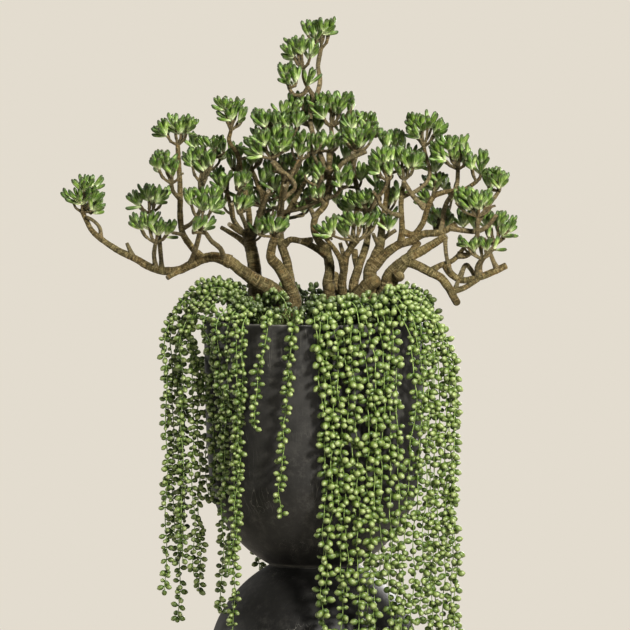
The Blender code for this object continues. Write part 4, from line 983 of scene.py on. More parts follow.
def strand_route(reach, lift, hung, crown_bearing, place):
    """Route of a strand: out of its crown, over the rim and down through drawn points.

    A negative reach hangs at the back. The place, from -1 to 1, is where the strand
    leaves the crown, and lift is how high its arch rises against the usual one.
    """
    out = abs(reach) * MM
    across = (hung[0][0] - AXIS_U) * UNIT
    depth = -math.copysign(math.sqrt(max(out * out - across * across, 1e-8)), reach)
    bearing = math.degrees(math.atan2(across, -depth)) % 360
    crown_bearing = crown_bearing % 360
    turned = (bearing - crown_bearing + 180) % 360 - 180
    far = min(max((out - FAR_START) / FAR_RANGE, 0.0), 1.0)
    fall = (1 - far) * ARCH_SHOULDER * lift + far * (FAR_ARCH * lift - FAR_FALL)
    shoulder = max(out - SHOULDER_IN - FAR_SHOULDER * far, LEAST_SHOULDER)
    stations = [(RISE_REACH, (RISE_HEIGHT + FAR_RISE * far) * lift),
                (0.5 * (CROWN_REACH + out), ARCH_HEIGHT * lift), (shoulder, fall)]
    x, y = crown_centre(crown_bearing)
    angle = math.radians(crown_bearing)
    spread = CROWN_SPREAD * place
    points = [Vector((x + spread * math.cos(angle), y + spread * math.sin(angle),
                      SOIL_TOP + STRAND_FOOT))]
    for (radius, height), share in zip(stations, TURN_SHARES):
        angle = math.radians(crown_bearing + share * turned)
        points.append(Vector((radius * math.sin(angle), -radius * math.cos(angle),
                              RIM_HEIGHT + height)))
    for u, v in hung:
        point = drawn(u, v, depth)
        least = pot_radius(point.z) + POT_CLEARANCE
        if math.hypot(point.x, depth) < least and abs(point.x) < least:
            point = drawn(u, v, math.copysign(math.sqrt(least ** 2 - point.x ** 2), depth))
        points.append(point)
    return points


def pot_radius(height):
    """The pot's outer radius at a height."""
    away = abs(height - HALF_HEIGHT) / MM
    radii, heights = zip(*([(WAIST_RADIUS / MM, 0.0)] + HALF_OUTLINE + [(RIM_RADIUS / MM, 310.0)]))
    return np.interp(away, heights, radii) * MM


def mound_route(middle, depth, top, rng):
    """Route of a low arch out of the soil and back to it, kept inside the bowl."""
    turn = rng.uniform(-1.0, 1.0)
    points = []
    for share, height in MOUND_ARCH:
        reach = share * MOUND_REACH * rng.uniform(*MOUND_CHANGES)
        x = (middle - AXIS_U) * UNIT + reach * math.cos(turn)
        y = depth * MM + reach * math.sin(turn)
        if math.hypot(x, y) > MOUND_LIMIT:
            shrink = MOUND_LIMIT / math.hypot(x, y)
            x, y = x * shrink, y * shrink
        peak = drawn(middle, top, depth * MM).z
        points.append(Vector((x, y, SOIL_TOP + STRAND_FOOT + height * (peak - SOIL_TOP))))
    return points


class Pearls:
    """The pearls already placed, kept in cells so that near ones are found at once."""

    def __init__(self, wood):
        self.cells = {}
        self.wood = wood

    def cell(self, point):
        """The cell that a point lies in."""
        return tuple(int(math.floor(c / CELL)) for c in point)

    def free(self, centre, size):
        """Whether a pearl of that size has room at the centre."""
        i, j, k = self.cell(centre)
        for di in (-1, 0, 1):
            for dj in (-1, 0, 1):
                for dk in (-1, 0, 1):
                    for other, wide in self.cells.get((i + di, j + dj, k + dk), ()):
                        if np.linalg.norm(centre - other) < PEARL_CLOSENESS * (size + wide):
                            return False
        inside = math.hypot(centre[0], centre[1])
        below = (RIM_V - BARE_V) * UNIT - centre[1] * VIEW_SLOPE > centre[2] - RIM_HEIGHT
        if inside < BARE_REACH and BARE_X[0] < centre[0] < BARE_X[1] and below:
            return False
        if centre[2] < SOIL_TOP:
            return inside > pot_radius(centre[2]) + 0.9 * size
        if centre[2] < RIM_HEIGHT + size and RIM_RADIUS - WALL - size < inside < RIM_RADIUS + size:
            return False
        if inside < RIM_RADIUS and centre[2] < SOIL_TOP + 0.6 * size:
            return False
        return (self.wood.left(centre[None]) > size).all()

    def add(self, centre, size):
        """Keep a placed pearl by its cell."""
        self.cells.setdefault(self.cell(centre), []).append((centre, size))


def pearl_skin(root, centre, way, size, looks):
    """An egg-shaped pearl with a small tip; its looks are painted shade, tint and tone."""
    side = unit(np.cross(way, Z if abs(way[2]) < 0.9 else X))
    other = np.cross(way, side)
    angles = circle(PEARL_SIDES)
    around = side * np.cos(angles)[:, None] + other * np.sin(angles)[:, None]
    length = PEARL_LENGTH * size
    along = 0.5 * length * PEARL_ALONG
    wide = 0.5 * (PEARL_WIDTH * size) * PEARL_WIDE
    rings = (centre + way * along[:, None])[:, None] + around * wide[:, None, None]
    skin = skin_of(rings, root, centre + way * PEARL_TIP * length)
    painted_shade, tint, tone = looks
    return skin, ring_traits(0.5 + 0.5 * PEARL_ALONG, np.full(PEARL_SIDES, painted_shade), tint, tone,
                             [[0.0, *looks], [1.0, *looks]])


def add_string(shape, centres, radius, taper, rng):
    """A thin bare string through the centres; returns its directions at each of them."""
    axes = across_path(centres)
    radii = np.full((len(centres), STRING_SIDES), radius)
    radii *= np.linspace(*taper, len(centres))[:, None]
    skin = skin_of(ring_points(centres, *axes[1:], radii), centres[0], centres[-1])
    shape.add(skin, (0.3, 0.0, rng.random(), 0.5), slot=1)
    return axes


def grow_strand(shape, points, pearls, rng, size, spacing):
    """One string with its pearls, set in pairs that turn round it."""
    centres, _ = smooth_path(points, [STRING_RADIUS] * len(points), STRING_STEP)
    lengths = lengths_along(centres)
    total = lengths[-1]
    phases = [rng.uniform(0, ANY_TURN) for _ in range(4)]
    swing = np.clip((lengths - SWING_START) / SWING_RANGE, 0, 1)[:, None]
    outward = unit(centres * (X + Y))
    beside = np.stack([-outward[:, 1], outward[:, 0], np.zeros(len(outward))], axis=1)
    turns = 2 * math.pi * lengths
    wave = sum(np.sin(turns / long + phase) * high
               for (long, high), phase in zip(SIDE_WAVES, phases))
    depth = (np.sin(turns / DEPTH_WAVE[0] + phases[2]) + 0.6) * DEPTH_WAVE[1]
    centres = centres + swing * (beside * wave[:, None] + outward * depth[:, None])
    axes = add_string(shape, centres, STRING_RADIUS, STRING_TAPER, rng)
    place = FIRST_PEARL + rng.uniform(0, spacing)
    azimuth = rng.uniform(0, ANY_TURN)
    tone = rng.uniform(-0.12, 0.12)
    while place < total:
        point = np.array([np.interp(place, lengths, centres[:, i]) for i in range(3)])
        i = min(int(np.searchsorted(lengths, place)), len(centres) - 1)
        for turn in (0.0, math.pi) if rng.random() < PAIR_SHARE else (0.0,):
            grow_pearl(shape, pearls, rng, point, [axis[i] for axis in axes],
                       azimuth + turn + rng.uniform(-TURN_CHANGE, TURN_CHANGE), tone, size)
        azimuth += PAIR_TURN + rng.uniform(-TURN_CHANGE, TURN_CHANGE)
        place += spacing * rng.uniform(*SPACINGS)
    grow_pearl(shape, pearls, rng, centres[-1], [axis[-1] for axis in axes], azimuth, tone, size)


def limited(value):
    """The value kept between 0 and 1."""
    return min(1.0, max(0.0, value))


def grow_pearl(shape, pearls, rng, point, axes, azimuth, tone, usual):
    """One pearl on its string, turned or made smaller where another is in its way."""
    along, side, other = axes
    scale = usual * rng.choice(PEARL_SCALES) * rng.uniform(*SCALE_CHANGES)
    tilt = rng.uniform(*PEARL_TILTS)
    for turn, share in PEARL_TRIALS:
        angle = azimuth + turn
        way = unit(math.cos(tilt) * (side * math.cos(angle) + other * math.sin(angle))
                   + math.sin(tilt) * along)
        size = scale * share
        centre = point + way * (STRING_RADIUS + PEARL_GAP + 0.5 * PEARL_LENGTH * size)
        if pearls.free(centre, 0.5 * PEARL_WIDTH * size):
            # Painted shade for pearls low in the bowl and in from the rim, standing for the mound's
            # shadow.
            depth = limited((PAINTED_SHADE_TOP - centre[2]) / PAINTED_SHADE_DEPTH)
            inside = limited((RIM_RADIUS - math.hypot(centre[0], centre[1])) / PAINTED_SHADE_EDGE)
            looks = (depth * inside * rng.uniform(0.6, 1.0),
                     limited(0.5 + tone + rng.uniform(-0.35, 0.35)), rng.random())
            shape.add(*pearl_skin(point, centre, way, size, looks))
            pearls.add(centre, 0.5 * PEARL_WIDTH * size)
            return


class Graph:
    """Short calls for wiring up one node material."""

    def __init__(self, name, roughness=None, specular=0.5):
        self.material = bpy.data.materials.new(name)
        self.material.use_nodes = True
        self.tree = self.material.node_tree
        self.shader = self.tree.nodes["Principled BSDF"]
        self.shader.inputs["Specular IOR Level"].default_value = specular
        if roughness is not None:
            self.shader.inputs["Roughness"].default_value = roughness

    def add(self, kind, settings=None, **inputs):
        """A node of that kind; each input is a value or the output that feeds it."""
        node = self.tree.nodes.new("ShaderNode" + kind)
        for key, value in (settings or {}).items():
            setattr(node, key, value)
        for key, value in inputs.items():
            self.feed(node.inputs[key.replace("_", " ")], value)
        return node

    def feed(self, socket, value):
        """Link an output to a socket, or set the socket's value."""
        if isinstance(value, bpy.types.NodeSocket):
            self.tree.links.new(value, socket)
        else:
            socket.default_value = value

    def place(self):
        """The point being shaded, in the piece's own coordinates."""
        return self.add("TexCoord").outputs["Object"]

    def upward(self, vector):
        """The z of a vector."""
        return self.add("SeparateXYZ", Vector=vector).outputs[2]

    def traits(self):
        """The piece's four traits: red, green and blue, and alpha."""
        node = self.add("Attribute", {"attribute_name": "traits"})
        split = self.add("SeparateColor", Color=node.outputs["Color"])
        return [split.outputs[0], split.outputs[1], split.outputs[2], node.outputs["Alpha"]]

    def maths(self, operation, first, second=0.0):
        """The result of a Math node."""
        node = self.add("Math", {"operation": operation})
        self.feed(node.inputs[0], first)
        self.feed(node.inputs[1], second)
        return node.outputs[0]

    def times(self, first, second):
        """The product of two values."""
        return self.maths("MULTIPLY", first, second)

    def plus(self, first, second):
        """The sum of two values."""
        return self.maths("ADD", first, second)

    def vector(self, x, y, z):
        """A vector of three values."""
        return self.add("CombineXYZ", X=x, Y=y, Z=z).outputs[0]

    def noise(self, vector, scale, detail=4.0, roughness=0.55, distortion=0.0):
        """Noise at a place, from 0 to 1."""
        node = self.add("TexNoise", Vector=vector, Scale=scale, Detail=detail, Roughness=roughness,
                        Distortion=distortion)
        return node.outputs["Fac"]

    def spread(self, value, low, high, to_low=0.0, to_high=1.0, smooth=False):
        """The value mapped from one range to another, and clamped."""
        kind = "SMOOTHSTEP" if smooth else "LINEAR"
        node = self.add("MapRange", {"interpolation_type": kind})
        for socket, number in zip(node.inputs, (value, low, high, to_low, to_high)):
            self.feed(socket, number)
        return node.outputs[0]

    def mix(self, share, first, second):
        """Two colours mixed by a share."""
        node = self.add("Mix", {"data_type": "RGBA"})
        self.feed(node.inputs[0], share)
        for socket, colour in ((node.inputs[6], first), (node.inputs[7], second)):
            self.feed(socket, (*colour, 1.0) if isinstance(colour, tuple) else colour)
        return node.outputs[2]

    def layers(self, colour, *rows):
        """The colour with others laid over it: each row is one and what spread needs."""
        for over, *spread in rows:
            colour = self.mix(self.spread(*spread), colour, over)
        return colour

    def soft(self, weight, radius, scale):
        """Let light into the surface, as it goes into leaves."""
        for key, value in (("Weight", weight), ("Radius", radius), ("Scale", scale)):
            self.shader.inputs["Subsurface " + key].default_value = value

    def finish(self, colour, roughness=None, height=None, depth=0.0005, strength=1.0):
        """Wire the colour, roughness and bump to the shader."""
        self.feed(self.shader.inputs["Base Color"], colour)
        if roughness is not None:
            self.feed(self.shader.inputs["Roughness"], roughness)
        if height is not None:
            bump = self.add("Bump", Height=height, Strength=strength, Distance=depth)
            self.feed(self.shader.inputs["Normal"], bump.outputs[0])
        return self.material


def pot_material():
    """Matt black plaster: cloudy, grainy, faintly scratched and dusty, with painted shade that
    darkens it towards the waist and over the lower half.
    """
    g = Graph("pot_black", specular=0.30)
    place = g.place()
    clouds = g.noise(place, 11.0, 7.0, 0.62, 0.5)
    grain = g.noise(place, 420.0, 3.0, 0.6)
    # Painted shade: the lighter clouds, grain and dust fade from high on the bowl down to the
    # waist, so the lower half is darker.
    high = g.spread(g.upward(place), HALF_HEIGHT, 0.60, 0.12, 1.0, True)
    colour = g.mix(g.times(g.spread(clouds, 0.32, 0.64), high),
                   (0.0100, 0.0096, 0.0090), (0.054, 0.0525, 0.049))
    colour = g.mix(g.times(g.spread(grain, 0.35, 0.75, 0.0, 0.45), high), colour,
                   (0.044, 0.043, 0.040))
    dust = g.times(g.spread(g.noise(place, 70.0, 9.0, 0.75), 0.48, 0.66),
                   g.spread(g.noise(place, 9.0, 3.0), 0.44, 0.60, 0.15, 1.0))
    dust = g.times(dust, g.spread(high, 0.12, 1.0, 0.32, 0.70))
    colour = g.mix(dust, colour, (0.120, 0.115, 0.104))
    scratches = []
    for turn in (0.5, -0.8):
        mapped = g.add("Mapping", Vector=place, Rotation=(turn, 0.4, turn), Scale=(90.0, 90.0, 5.0))
        away = g.maths("ABSOLUTE", g.maths("SUBTRACT", g.noise(mapped.outputs[0], 1.0, 1.0), 0.5))
        scratches.append(g.spread(away, 0.0, 0.006, 1.0, 0.0))
    lines = g.times(g.maths("MAXIMUM", *scratches), g.spread(g.noise(place, 17.0, 3.0), 0.50, 0.62))
    colour = g.mix(g.times(lines, 0.9), colour, (0.180, 0.173, 0.156))
    worn = g.spread(g.traits()[0], 0.0, 1.0)
    colour = g.mix(g.times(worn, 0.60), colour, (0.190, 0.183, 0.168))
    height = g.plus(g.times(clouds, 0.6), g.times(grain, 0.25))
    return g.finish(colour, g.spread(clouds, 0.3, 0.7, 0.40, 0.58), height, 0.0012, 0.5)


def soil_material():
    """Dark crumbly earth."""
    g = Graph("soil_brown", 0.95, 0.2)
    place = g.place()
    lumps = g.noise(place, 160.0, 6.0, 0.65)
    flecks = g.noise(place, 620.0, 3.0)
    colour = g.layers((0.010, 0.007, 0.005), ((0.050, 0.031, 0.019), lumps, 0.35, 0.7),
                      ((0.110, 0.078, 0.050), flecks, 0.62, 0.72))
    return g.finish(colour, None, g.plus(lumps, flecks), 0.003, 0.8)


def bark_material():
    """Tan-brown succulent bark with ring scars, grey patches, dark cracks and painted shade near
    the soil.
    """
    g = Graph("bark_brown", specular=0.25)
    place = g.place()
    length, around, tint, cut = g.traits()
    turn = g.times(around, 2 * math.pi)
    away = g.times(tint, 40.0)

    def wrapped(along, across, *looks):
        """Noise wrapped round a limb, fine along it and across it as given."""
        return g.noise(g.vector(g.times(length, along), g.times(g.maths("COSINE", turn), across),
                                g.plus(g.times(g.maths("SINE", turn), across), away)),
                       1.0, *looks)

    rings = wrapped(420.0, 0.45, 3.0, 0.6, 0.4)
    grain = wrapped(95.0, 4.0, 5.0, 0.7, 0.5)
    patches = g.noise(place, 62.0, 5.0, 0.6, 0.3)
    fibres = g.noise(place, 430.0, 4.0, 0.7)
    colour = g.layers(
        (0.128, 0.090, 0.035),
        ((0.232, 0.184, 0.080), patches, 0.34, 0.66),
        ((0.132, 0.128, 0.056), g.noise(place, 27.0, 3.0), 0.44, 0.64, 0.0, 0.55),
        ((0.330, 0.185, 0.060), g.noise(place, 120.0, 3.0), 0.56, 0.68, 0.0, 0.45),
        ((0.040, 0.028, 0.011), rings, 0.39, 0.49, 0.64, 0.0),
        ((0.046, 0.032, 0.013), grain, 0.37, 0.48, 0.62, 0.0),
        ((0.520, 0.440, 0.250), grain, 0.54, 0.66, 0.0, 0.45),
        ((0.520, 0.425, 0.235), rings, 0.54, 0.64, 0.0, 0.42),
        ((0.040, 0.028, 0.012), fibres, 0.36, 0.48, 0.65, 0.0),
        # Painted shade darkens the bark near the soil.
        ((0.052, 0.042, 0.022), g.upward(place), SOIL_TOP, SOIL_TOP + 0.085, 0.42, 0.0, True))
    colour = g.mix(g.times(cut, 0.6), colour, (0.360, 0.320, 0.235))
    height = g.plus(g.plus(g.times(rings, 0.5), g.times(grain, 1.0)), g.times(fibres, 0.5))
    return g.finish(colour, g.spread(patches, 0.3, 0.7, 0.62, 0.85), height, 0.0030, 1.0)


def leaf_material():
    """Plump green leaves: pale at the foot, creased, streaked with partly painted highlights and
    crease shade, darker at the tip.
    """
    g = Graph("leaf_green", specular=0.5)
    place = g.place()
    along, around, tint, tone = g.traits()
    turn = g.times(around, 2 * math.pi)
    shifted = g.add("VectorMath", {"operation": "ADD"})
    g.feed(shifted.inputs[0], g.vector(g.maths("COSINE", turn), g.maths("SINE", turn),
                                       g.times(along, 0.9)))
    g.feed(shifted.inputs[1], g.vector(g.times(tint, 31.0), tint, tone))
    streaks = g.noise(shifted.outputs[0], 1.8, 3.0, 0.55, 0.3)
    mottle = g.noise(place, 340.0, 4.0, 0.6)
    pale = g.plus(along, g.times(g.maths("SUBTRACT", streaks, 0.5), 0.35))
    colour = g.layers(
        (0.094, 0.174, 0.022),
        ((0.210, 0.318, 0.054), tint, 0.0, 1.0),
        # Dark streaks are partly painted shade in the creases; pale streaks are partly the leaf's
        # pale ridges and partly painted highlights.
        ((0.030, 0.066, 0.010), streaks, 0.34, 0.52, 0.75, 0.0),
        ((0.580, 0.660, 0.330), streaks, 0.53, 0.64, 0.0, 0.62),
        ((0.035, 0.070, 0.012), mottle, 0.55, 0.75, 0.0, 0.3),
        ((0.740, 0.800, 0.520), pale, 0.02, 0.56, 0.95, 0.0, True),
        ((0.026, 0.052, 0.010), along, 0.72, 0.96, 0.0, 0.84),
        ((0.060, 0.040, 0.018), along, 0.98, 1.03, 0.0, 0.80))
    g.soft(0.12, (0.5, 1.0, 0.2), 0.003)
    height = g.plus(g.times(streaks, 1.0), g.times(mottle, 0.25))
    return g.finish(colour, g.spread(streaks, 0.3, 0.7, 0.52, 0.36), height, 0.0012, 0.7)


def pearl_material():
    """Yellow-green pearls, paler round the tip, with painted shade on their undersides and on those
    low in the bowl.
    """
    g = Graph("pearl_green", 0.44, 0.70)
    along, painted_shade, tint, tone = g.traits()
    mottle = g.noise(g.place(), 260.0, 3.0)
    # Painted shade: pearls are darker where their faces turn downwards.
    normal_up_for_painted_shade = g.upward(g.add("NewGeometry").outputs["Normal"])
    colour = g.layers(
        g.mix(tint, (0.092, 0.146, 0.022), (0.206, 0.266, 0.066)),
        ((0.065, 0.115, 0.018), mottle, 0.35, 0.70, 0.35, 0.0),
        ((0.470, 0.520, 0.270), along, 0.50, 0.95, 0.0, 0.40, True),
        ((0.040, 0.085, 0.012), along, 0.04, 0.38, 0.8, 0.0),
        ((0.026, 0.054, 0.008), normal_up_for_painted_shade, -0.9, 0.1, 0.60, 0.0))
    # Painted shade darkens the pearls low in the bowl.
    colour = g.mix(g.times(painted_shade, 0.90), colour, (0.016, 0.030, 0.005))
    g.soft(0.15, (0.6, 1.0, 0.2), 0.002)
    return g.finish(colour, None, g.plus(mottle, tone), 0.0004, 0.3)


def string_material():
    """Thin green strings."""
    g = Graph("string_green", 0.5, 0.4)
    fibres = g.noise(g.place(), 240.0, 3.0)
    colour = g.mix(g.spread(fibres, 0.35, 0.65), (0.110, 0.170, 0.036), (0.250, 0.330, 0.110))
    return g.finish(colour, None, fibres, 0.0003, 0.4)


def floor_material():
    """A pale, even studio floor."""
    g = Graph("studio_floor", 0.9, 0.1)
    cloud = g.noise(g.place(), 3.0, 2.0)
    return g.finish(g.mix(cloud, (0.745, 0.695, 0.605), (0.765, 0.715, 0.623)))


def make_bowl(materials):
    """The upper half of the pot, with a slim rolled rim."""
    level, floor, inner = HALF_HEIGHT + GAP, HALF_HEIGHT + BOWL_FLOOR, RIM_RADIUS - WALL
    profile = [(0.04, level), (WAIST_RADIUS - 0.0012, level),
               (WAIST_RADIUS - 0.0003, level + 0.0004)]
    profile += curved([(WAIST_RADIUS + 0.0004, HALF_HEIGHT + 0.0012)]
                      + in_metres(HALF_OUTLINE, HALF_HEIGHT, 1)
                      + [(RIM_RADIUS - 0.0006, RIM_HEIGHT - 0.05),
                         (RIM_RADIUS, RIM_HEIGHT - RIM_ROLL_DEPTH)], POT_STEP)
    profile += [(RIM_RADIUS - 0.0002, RIM_HEIGHT - 0.0022),
                (RIM_RADIUS - 0.0009, RIM_HEIGHT - 0.0007),
                (RIM_RADIUS - 0.0020, RIM_HEIGHT), (inner + 0.0020, RIM_HEIGHT),
                (inner + 0.0006, RIM_HEIGHT - 0.0010), (inner, RIM_HEIGHT - RIM_ROLL_DEPTH)]
    profile += curved(in_metres(BOWL_INSIDE, HALF_HEIGHT, 1), INSIDE_STEP) + [(0.04, floor)]
    worn = [RIM_HEIGHT - 0.0012 < z or z < level + 0.0009 for _, z in profile]
    turn_pot("bowl_upper", "pot_bowl", profile, worn, ((0, 0, level), (0, 0, floor)), materials)


def make_base(materials):
    """The lower half: the bowl's mirror image, with a neck and a closed floor."""
    profile = [(0.05, 0.0), (RIM_RADIUS - RIM_ROLL, 0.0), (RIM_RADIUS - 0.0004, 0.0012)]
    profile += curved([(RIM_RADIUS, RIM_ROLL_DEPTH), (RIM_RADIUS - 0.0006, 0.05)]
                      + in_metres(reversed(HALF_OUTLINE), HALF_HEIGHT, -1)
                      + [(WAIST_RADIUS + 0.0004, HALF_HEIGHT - 0.0012)], POT_STEP)
    profile += [(WAIST_RADIUS - 0.0003, HALF_HEIGHT - 0.0004), (WAIST_RADIUS - 0.0012, HALF_HEIGHT),
                (NECK_RADIUS, HALF_HEIGHT)]
    profile += curved(in_metres(BASE_INSIDE, HALF_HEIGHT, -1), INSIDE_STEP) + [(0.05, BASE_FLOOR)]
    worn = [HALF_HEIGHT - 0.0009 < z or z < 0.0015 for _, z in profile]
    turn_pot("bowl_lower", "pot_base", profile, worn, ((0, 0, 0), (0, 0, BASE_FLOOR)), materials)


def turn_pot(name, node, profile, worn, ends, materials):
    """A half of the pot turned from its profile, with a trait that says where it is worn."""
    traits = np.zeros((len(profile) * POT_SIDES + 2, 4))
    traits[:-2, 0] = np.repeat(worn, POT_SIDES)
    shape = Shape()
    shape.add(skin_of(lathe(profile, POT_SIDES), *ends), traits)
    shape.piece(name, materials, node, "pot")


def lathe(profile, sides):
    """Rings turned about the pot's axis from a profile of (radius, height)."""
    angles = circle(sides)
    return np.array([np.stack([radius * np.cos(angles), radius * np.sin(angles),
                               np.full(sides, height)], axis=1) for radius, height in profile])


def curved(outline, step):
    """A smooth outline through (radius, height) points, at about every step."""
    points = [(radius, 0.0, height) for radius, height in outline]
    made, _ = smooth_path(points, [0.0] * len(points), step)
    return [(p[0], p[2]) for p in made]


def in_metres(outline, level, way):
    """Profile points in metres, measured up (way 1) or down (way -1) from a level."""
    return [(radius * MM, level + way * height * MM) for radius, height in outline]


def soil_height(x, y):
    """Height of the soil's uneven top."""
    lumps = [noise.noise(Vector((x, y, z)) * fine) * high for z, fine, high in SOIL_LUMPS]
    return sum(lumps, SOIL_TOP)


def make_soil(materials):
    """Earth that fills the bowl, with a rough top and loose crumbs on it."""
    inside = in_metres(BOWL_INSIDE, HALF_HEIGHT, 1)
    (radius, height), top = inside[0], RIM_HEIGHT - RIM_ROLL_DEPTH
    share = (SOIL_TOP - height) / (top - height)
    widest = radius + share * (RIM_RADIUS - WALL - radius) - SOIL_CLEARANCE
    profile = [(radius - SOIL_CLEARANCE, height + GAP) for radius, height in reversed(inside)]
    profile += [(widest, SOIL_TOP - SOIL_EDGE)]
    profile += [(widest * (1 - i / SOIL_RINGS), SOIL_TOP) for i in range(SOIL_RINGS)]
    rings = lathe(profile, SOIL_SIDES)
    for ring in rings[len(inside) + 1:]:
        for point in ring:
            point[2] = soil_height(point[0], point[1])
    shape = Shape()
    shape.add(skin_of(rings, (0, 0, HALF_HEIGHT + BOWL_FLOOR + SOIL_CLEARANCE), (0, 0, SOIL_TOP)),
              (0, 0, 0, 0))
    rng = random.Random(7)
    for _ in range(CRUMBS):
        away = (widest - SOIL_EDGE) * math.sqrt(rng.random())
        angle = rng.uniform(0, ANY_TURN)
        add_crumb(shape, away * math.cos(angle), away * math.sin(angle),
                  rng.uniform(*CRUMB_SIZES), rng)
    shape.piece("earth", materials, "soil", "soil")


def add_crumb(shape, x, y, size, rng):
    """A small irregular lump half sunk in the soil."""
    centre = np.array([x, y, soil_height(x, y) + 0.3 * size])
    rings = np.empty((2, 5, 3))
    for i, (wide, high) in enumerate(((0.9, -0.4), (0.8, 0.35))):
        for k in range(5):
            angle = 2 * math.pi * k / 5 + rng.uniform(-0.3, 0.3)
            reach = size * wide * rng.uniform(0.7, 1.2)
            rings[i, k] = centre + np.array([reach * math.cos(angle), reach * math.sin(angle),
                                             size * high * rng.uniform(0.7, 1.3)])
    skin = skin_of(rings, centre - np.array([0, 0, size]), centre + np.array([0, 0, 0.8 * size]))
    shape.add(skin, (0, 0, 0, 0))


def make_plants(bark, leaf):
    """Wood and leaf heads of both plants; returns the room that the wood takes."""
    room = Room(ROOM_SIZE)
    wood = Room(WOOD_SIZE)
    plants = []
    heads = []
    for name, limbs, root, seed in (("left", LEFT_LIMBS, ROOT_LEFT, 3.0),
                                    ("right", RIGHT_LIMBS, ROOT_RIGHT, 8.0)):
        laid = lay_limbs(limbs, root)
        own = []
        for points, radii, ending in laid:
            if ending:
                own.append(Head(len(heads) + len(own), points[-1], radii[-1], ending[0],
                                ending[1:]))
        for head in own:
            for u, v, lean, depth in SPRIGS.get(head.name, ()):
                foot = np.array(drawn(u, v, depth * MM))
                head.sprout(nearest_wood(laid, foot), foot, leaning(lean, 0.0), SPRIG_COUNT)
        heads += own
        plants.append((name, laid, own, root, seed))
    for _, laid, own, _, _ in plants:
        for points, radii, _ in laid:
            for a, b, first, last in zip(points, points[1:], radii, radii[1:]):
                room.add(a, b, max(first, last), -1)
                wood.add(a, b, max(first, last), -1)
        for head in own:
            for twig in head.twigs:
                for a, b in zip(twig, twig[1:]):
                    room.add(a, b, 0.7 * TWIG_RADIUS, head.index)
    for name, laid, own, root, seed in plants:
        shape = Shape()
        rootstock(shape, root, seed)
        for i, (points, radii, head) in enumerate(laid):
            bark_limb(shape, points, radii, i * 1.7 + 1, LIMB_STEP, LIMB_COLLAR, cut=not head)
        for head in own:
            radii = [min(head.radius, 1.25 * TWIG_RADIUS), TWIG_RADIUS, TWIG_RADIUS,
                     0.9 * TWIG_RADIUS]
            for k, twig in enumerate(head.twigs):
                bark_limb(shape, twig, radii, head.index + k * 0.9, TWIG_STEP, TWIG_COLLAR)
        shape.piece("wood_" + name, [bark], "stems_" + name, "bark")
    for head in heads:
        shape = Shape()
        head.grow(shape, room)
        shape.piece("leaves_" + head.name, [leaf], "head_" + head.name, "leaf")
    return wood


def nearest_wood(laid, foot):
    """The point on a plant's limbs from which a sprig would reach its foot upwards."""
    best = None
    for points, _, _ in laid:
        for a, b in zip(points, points[1:]):
            for share in (0.0, 0.33, 0.67):
                point = np.array(a) + share * (np.array(b) - np.array(a))
                offset = foot - point
                away = np.linalg.norm(offset) + 3.0 * max(0.0, 0.008 - offset[2])
                if best is None or away < best[0]:
                    best = (away, point)
    return best[1]


def make_strings(wood, materials):
    """The bunches of pearls, with low arches that make a mound round the trunks."""
    pearls = Pearls(wood)
    rng = random.Random(21)
    shapes = {name: Shape() for name in PEARL_BUNCHES}
    for name, (crown, size, spacing, strands) in PEARL_BUNCHES.items():
        for i, (reach, lift, hung) in enumerate(strands):
            route = strand_route(reach, lift, hung, crown, 2 * i / (len(strands) - 1) - 1)
            grow_strand(shapes[name], route, pearls, rng, size, spacing)
    for name, count, across, depths, tops in MOUNDS:
        _, size, spacing, _ = PEARL_BUNCHES[name]
        for _ in range(count):
            route = mound_route(rng.uniform(*across), rng.uniform(*depths), rng.uniform(*tops), rng)
            grow_strand(shapes[name], route, pearls, rng, size, spacing)
    add_blades(shapes["pearls_front"])
    for name, shape in shapes.items():
        shape.piece(name.replace("pearls", "strings"), materials, name, "pearl")


def add_blades(shape):
    """Fine bare stems that arch out of the soil behind the front of the rim."""
    rng = random.Random(77)
    for _ in range(BLADES):
        u, depth = rng.uniform(*BLADE_U), rng.uniform(*BLADE_DEPTHS)
        turn = rng.uniform(*BLADE_TURNS)
        points = []
        for reach, height in BLADE_ARCH:
            reach *= BLADE_REACH
            x = (u - AXIS_U) * UNIT + reach * math.sin(turn)
            y = depth * MM - reach * math.cos(turn)
            points.append(Vector((x, y, SOIL_TOP + height * BLADE_HEIGHT)))
        centres, _ = smooth_path(points, [BLADE_RADIUS] * len(points), BLADE_STEP)
        add_string(shape, centres, BLADE_RADIUS, BLADE_TAPER, rng)


def linked(name, data):
    """A new object in the scene."""
    made = bpy.data.objects.new(name, data)
    bpy.context.scene.collection.objects.link(made)
    return made


def aimed(name, data, place, way):
    """A camera or light at a place, that looks along a direction."""
    made = linked(name, data)
    made.location = place
    made.rotation_mode = "QUATERNION"
    made.rotation_quaternion = way.to_track_quat("-Z", "Y")
    return made


def make_camera():
    """A long lens from the front, three degrees above level."""
    rise = math.radians(CAMERA_ELEVATION)
    back = Vector((0, -math.cos(rise), math.sin(rise)))
    data = bpy.data.cameras.new("camera")
    data.sensor_width = SENSOR_WIDTH
    data.lens = SENSOR_WIDTH * CAMERA_DISTANCE / (FRAME_SIDE * UNIT)
    data.clip_end = 100.0
    place = Vector(CAMERA_TARGET) + back * CAMERA_DISTANCE
    bpy.context.scene.camera = aimed("camera", data, place, -back)


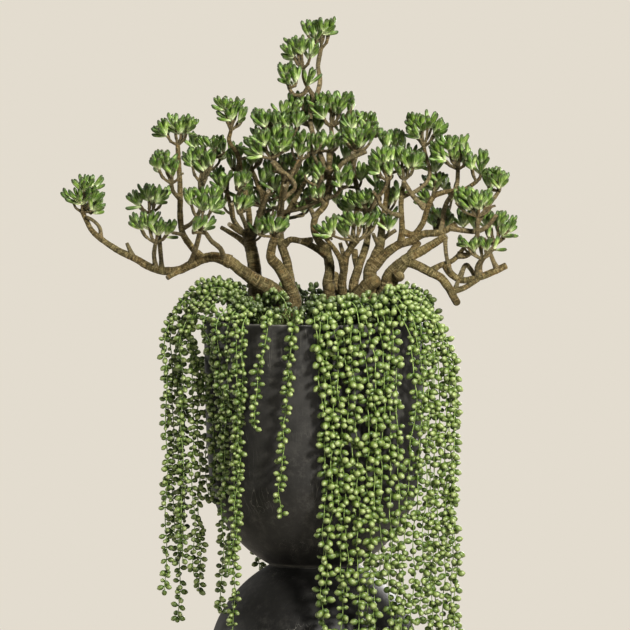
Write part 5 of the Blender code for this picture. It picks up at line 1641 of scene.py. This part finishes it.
def make_light(name, place, size, power, colour):
    """A soft round area light that points at the plant's middle."""
    data = bpy.data.lights.new(name, "AREA")
    data.shape = "DISK"
    data.size = size
    data.energy = power
    data.color = colour
    aimed(name, data, place, Vector(LIGHT_TARGET) - Vector(place))


def make_world():
    """The plain backdrop's colour behind everything, and a dimmer light from all round."""
    world = bpy.data.worlds.new("studio")
    bpy.context.scene.world = world
    world.use_nodes = True
    nodes, links = world.node_tree.nodes, world.node_tree.links
    nodes.clear()
    rays = nodes.new("ShaderNodeLightPath")
    made = None
    for kind, colour, strength in ((None, AMBIENT_COLOUR, AMBIENT_STRENGTH),
                                   ("Is Glossy Ray", AMBIENT_COLOUR, REFLECTED_STRENGTH),
                                   ("Is Camera Ray", BACKDROP, 1.0)):
        shown = nodes.new("ShaderNodeBackground")
        shown.inputs["Color"].default_value = (*colour, 1.0)
        shown.inputs["Strength"].default_value = strength
        if kind:
            mixed = nodes.new("ShaderNodeMixShader")
            for socket, output in zip(mixed.inputs, (rays.outputs[kind], made, shown.outputs[0])):
                links.new(output, socket)
            made = mixed.outputs[0]
        else:
            made = shown.outputs[0]
    links.new(made, nodes.new("ShaderNodeOutputWorld").inputs["Surface"])


def make_floor(material):
    """A round pale floor under the pot."""
    grid = FLOOR_RADIUS * np.array([0.25, 0.5, 0.75, 1.0])
    rings = lathe([(radius, -FLOOR_DROP) for radius in grid], FLOOR_SIDES)[::-1]
    vertices, triangles = skin_of(rings, None, (0, 0, -FLOOR_DROP))
    mesh = bpy.data.meshes.new("floor")
    mesh.from_pydata(vertices.tolist(), [], triangles.tolist())
    mesh.materials.append(material)
    floor = linked("floor", mesh)


def main():
    """Build the studio and every piece."""
    make_camera()
    make_world()
    for light in LIGHTS:
        make_light(*light)
    make_floor(floor_material())
    pot = pot_material()
    make_bowl([pot])
    make_base([pot])
    make_soil([soil_material()])
    wood = make_plants(bark_material(), leaf_material())
    make_strings(wood, [pearl_material(), string_material()])
    view = bpy.context.scene.view_settings
    view.view_transform = "Standard"
    view.gamma = VIEW_GAMMA


main()
